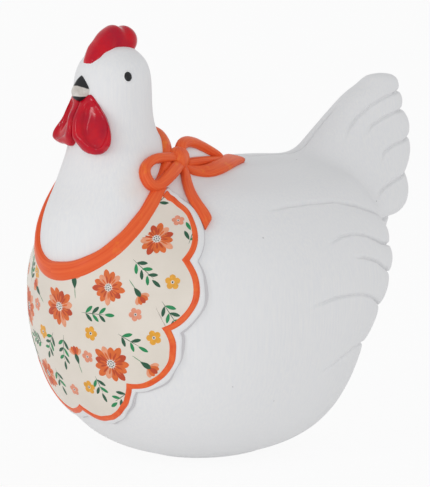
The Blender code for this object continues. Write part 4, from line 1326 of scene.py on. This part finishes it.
# %% Glossy red, ribbon orange, cream and black
def clouded(name, colour, roughness, gloss, size, detail, pale, dark, rough=None, bump=None):
    """A paint whose colour, roughness and height follow soft clouds."""
    made, tree, shader = paint(name, colour, roughness, gloss)
    clouds = noise(tree, size, detail)
    colour = mixed(tree, ranged(tree, clouds, 0.35, 0.7, 0, 1), pale, dark)
    rough = rough and ranged(tree, clouds, 0.3, 0.7, *rough)
    dressed(tree, shader, colour, rough, bump and (clouds, *bump))
    return made


def ink_finish(name, colour):
    """A printed colour, slightly uneven like ink under a varnish."""
    return clouded(name, colour, 0.42, 0.25, 500, 3, colour, tuple(c * 0.82 for c in colour))


def orange_finish(name, along):
    """Orange with streaks that follow the piece's own map."""
    made, tree, shader = paint(name, (0.72, 0.1, 0.025), 0.34, 0.15)
    streaks = noise(tree, along, 4, 0.6, "UV")
    clouds = noise(tree, 150)
    colour = mixed(tree, ranged(tree, streaks, 0.35, 0.68, 0, 1), (0.71, 0.088, 0.024), (0.81, 0.15, 0.044))
    colour = mixed(tree, ranged(tree, clouds, 0.6, 0.75, 0, 0.5), colour, (0.84, 0.27, 0.03))
    roughness = ranged(tree, streaks, 0.3, 0.7, 0.26, 0.42)
    dressed(tree, shader, colour, roughness, (streaks, 0.25, 0.00025))
    return made


RIDGE_BLACK, CHIN_BLACK, BAND_SOFT, BAND_ARCH = 174.6 * MM, 169.9 * MM, 0.3 * MM, 55


def beak_finish():
    """Black above and below, with a pale band of horn between."""
    made, tree, shader = paint("horn_paint", (0.55, 0.5, 0.45), 0.4, 0.25)
    clouds = noise(tree, 300)
    across, height = (one_axis(tree, place_of(tree), number) for number in (0, 2))
    wavy = maths(tree, "ADD", height, ranged(tree, clouds, 0, 1, -0.4 * MM, 0.4 * MM))
    arched = maths(tree, "MULTIPLY_ADD", maths(tree, "MULTIPLY", across, across), BAND_ARCH, wavy)
    above = ranged(tree, arched, RIDGE_BLACK, RIDGE_BLACK + BAND_SOFT, 0, 1)
    below = ranged(tree, wavy, CHIN_BLACK, CHIN_BLACK + BAND_SOFT, 1, 0)
    horn = mixed(tree, ranged(tree, clouds, 0.3, 0.7, 0, 1), (0.7, 0.67, 0.63), (0.5, 0.46, 0.42))
    dressed(tree, shader, mixed(tree, maths(tree, "MAXIMUM", above, below), horn, (0.012, 0.012, 0.014)))
    return made


red_enamel = clouded(
    "red_enamel", (0.5, 0.004, 0.018), 0.12, 0.2, 120, 3, (0.55, 0.003, 0.014), (0.4, 0.002, 0.02),
    rough=(0.09, 0.16), bump=(0.12, 0.0006),
)
ribbon_orange = orange_finish("orange_enamel", (22, 3, 1))
border_orange = orange_finish("border_enamel", (60, 3, 1))
cream_print = clouded(
    "cream_print", (0.72, 0.66, 0.58), 0.42, 0.3, 45, 4, (0.735, 0.675, 0.6), (0.69, 0.632, 0.555),
    rough=(0.36, 0.48), bump=(0.1, 0.0008),
)
black_paint, _, _ = paint("black_paint", (0.008, 0.008, 0.01), 0.22, 0.3)
horn_paint = beak_finish()
INKS = {
    "orange": (0.72, 0.15, 0.035), "rust": (0.52, 0.07, 0.025), "peach": (0.8, 0.34, 0.2),
    "yellow": (0.8, 0.38, 0.045), "blush": (0.78, 0.3, 0.19), "leaf": (0.02, 0.25, 0.09),
    "dark_leaf": (0.025, 0.1, 0.055), "white_heart": (0.74, 0.72, 0.68), "dot": (0.03, 0.02, 0.018),
}
print("paints:", [m.name for m in bpy.data.materials])

# %% [markdown]
# ## Finish and mount the pieces
# Every piece takes its finish and rides on the one body, and the cast model is
# then hidden.


# %% Finish and mount each piece
def handed(piece, material):
    piece.data.materials.clear()
    piece.data.materials.append(material)
    piece.data.materials.update()
    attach(piece, "root")
    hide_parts("hen_figurine")


PAINTED = [
    (white_paint, "white_paint", [white_body, rear_web, *eye_rims]),
    (plate_paint_with_shade, "white_paint", [bib_plate]),
    (cream_print, "cream_print", [bib_panel]),
    (border_orange, "orange_enamel", [bib_border]),
    (ribbon_orange, "orange_enamel", [strap, front_loop, rear_loop, down_tail, rear_tail, knot]),
    (red_enamel, "red_enamel", [comb, left_wattle, right_wattle]),
    (horn_paint, "horn_paint", [beak]),
    (black_paint, "black_paint", eyes),
]
for material, slot, pieces in PAINTED:
    for piece in pieces:
        handed(piece, material)
for colour, piece in prints.items():
    handed(piece, ink_finish("ink_" + colour, INKS[colour]))

# %% [markdown]
# ## Studio
# The photograph is lit softly from the front left against plain white. A pale world that is darker
# overhead gives most of the light, and two narrow upright lamps add the bright lines on the enamel.
# To the camera and to reflections the world is pure white and the floor nearly so. To all other rays
# the floor still glows a little, as a lit white table does, which keeps the belly pale.

# %% Floor, world and lamps
bpy.ops.object.select_all(action="DESELECT")
bpy.ops.mesh.primitive_plane_add(size=8, location=(0, 0, -0.0002))
floor = bpy.context.object
floor.name = "floor"


FLOOR_GLOW, FLOOR_GLOW_SEEN = 0.35, 0.9
HORIZON, ZENITH = 0.97, 0.61


def seen_directly(tree):
    """1 for rays from the camera, from gloss or through glass, and 0 for the others."""
    rays = tree.nodes.new("ShaderNodeLightPath").outputs
    first = maths(tree, "MAXIMUM", rays["Is Camera Ray"], rays["Is Glossy Ray"])
    return maths(tree, "MAXIMUM", first, rays["Is Transmission Ray"])


def blended(tree, share, first, second, out):
    """Two shaders mixed by a share and sent to the surface."""
    both = node(tree, "ShaderNodeMixShader", i0=share, i1=first.outputs[0], i2=second.outputs[0])
    tree.links.new(both.outputs[0], tree.nodes[out].inputs["Surface"])


def floor_finish():
    made, tree, shader = paint("pale_floor", (0.9, 0.9, 0.9), 0.8, 0.1)
    glow = node(tree, "ShaderNodeEmission", Color=(1, 1, 1, 1), Strength=1.0)
    more = FLOOR_GLOW_SEEN - FLOOR_GLOW
    share = maths(tree, "MULTIPLY_ADD", seen_directly(tree), more, FLOOR_GLOW)
    blended(tree, share, shader, glow, "Material Output")
    return made


floor.data.materials.append(floor_finish())
world = bpy.data.worlds.new("studio")
bpy.context.scene.world = world
world.use_nodes = True
tree = world.node_tree
soft = tree.nodes["Background"]
soft.inputs["Color"].default_value = (0.985, 0.99, 1, 1)
height = one_axis(tree, place_of(tree, kind="Generated"), 2)
tree.links.new(ranged(tree, height, 0, 1, HORIZON, ZENITH), soft.inputs["Strength"])
white = node(tree, "ShaderNodeBackground", Color=(1, 1, 1, 1), Strength=1.0)
blended(tree, seen_directly(tree), soft, white, "World Output")


def lamp(name, place, width, height, power):
    bpy.ops.object.light_add(type="AREA", location=place)
    made = bpy.context.object
    made.name = name
    made.data.shape = "RECTANGLE"
    made.data.size, made.data.size_y = width, height
    made.data.energy = power
    made.rotation_euler = (Vector(place) - VIEW_TARGET).to_track_quat("Z", "Y").to_euler()
    return made


key_lamp = lamp("key_lamp", (-0.1, -1.4, 0.4), width=0.05, height=0.7, power=2.3)
fill_lamp = lamp("fill_lamp", (1.15, -0.85, 0.2), width=0.07, height=0.38, power=2)
bpy.context.scene.view_settings.view_transform = "Standard"
print("lamps:", key_lamp.data.energy, fill_lamp.data.energy, "W")
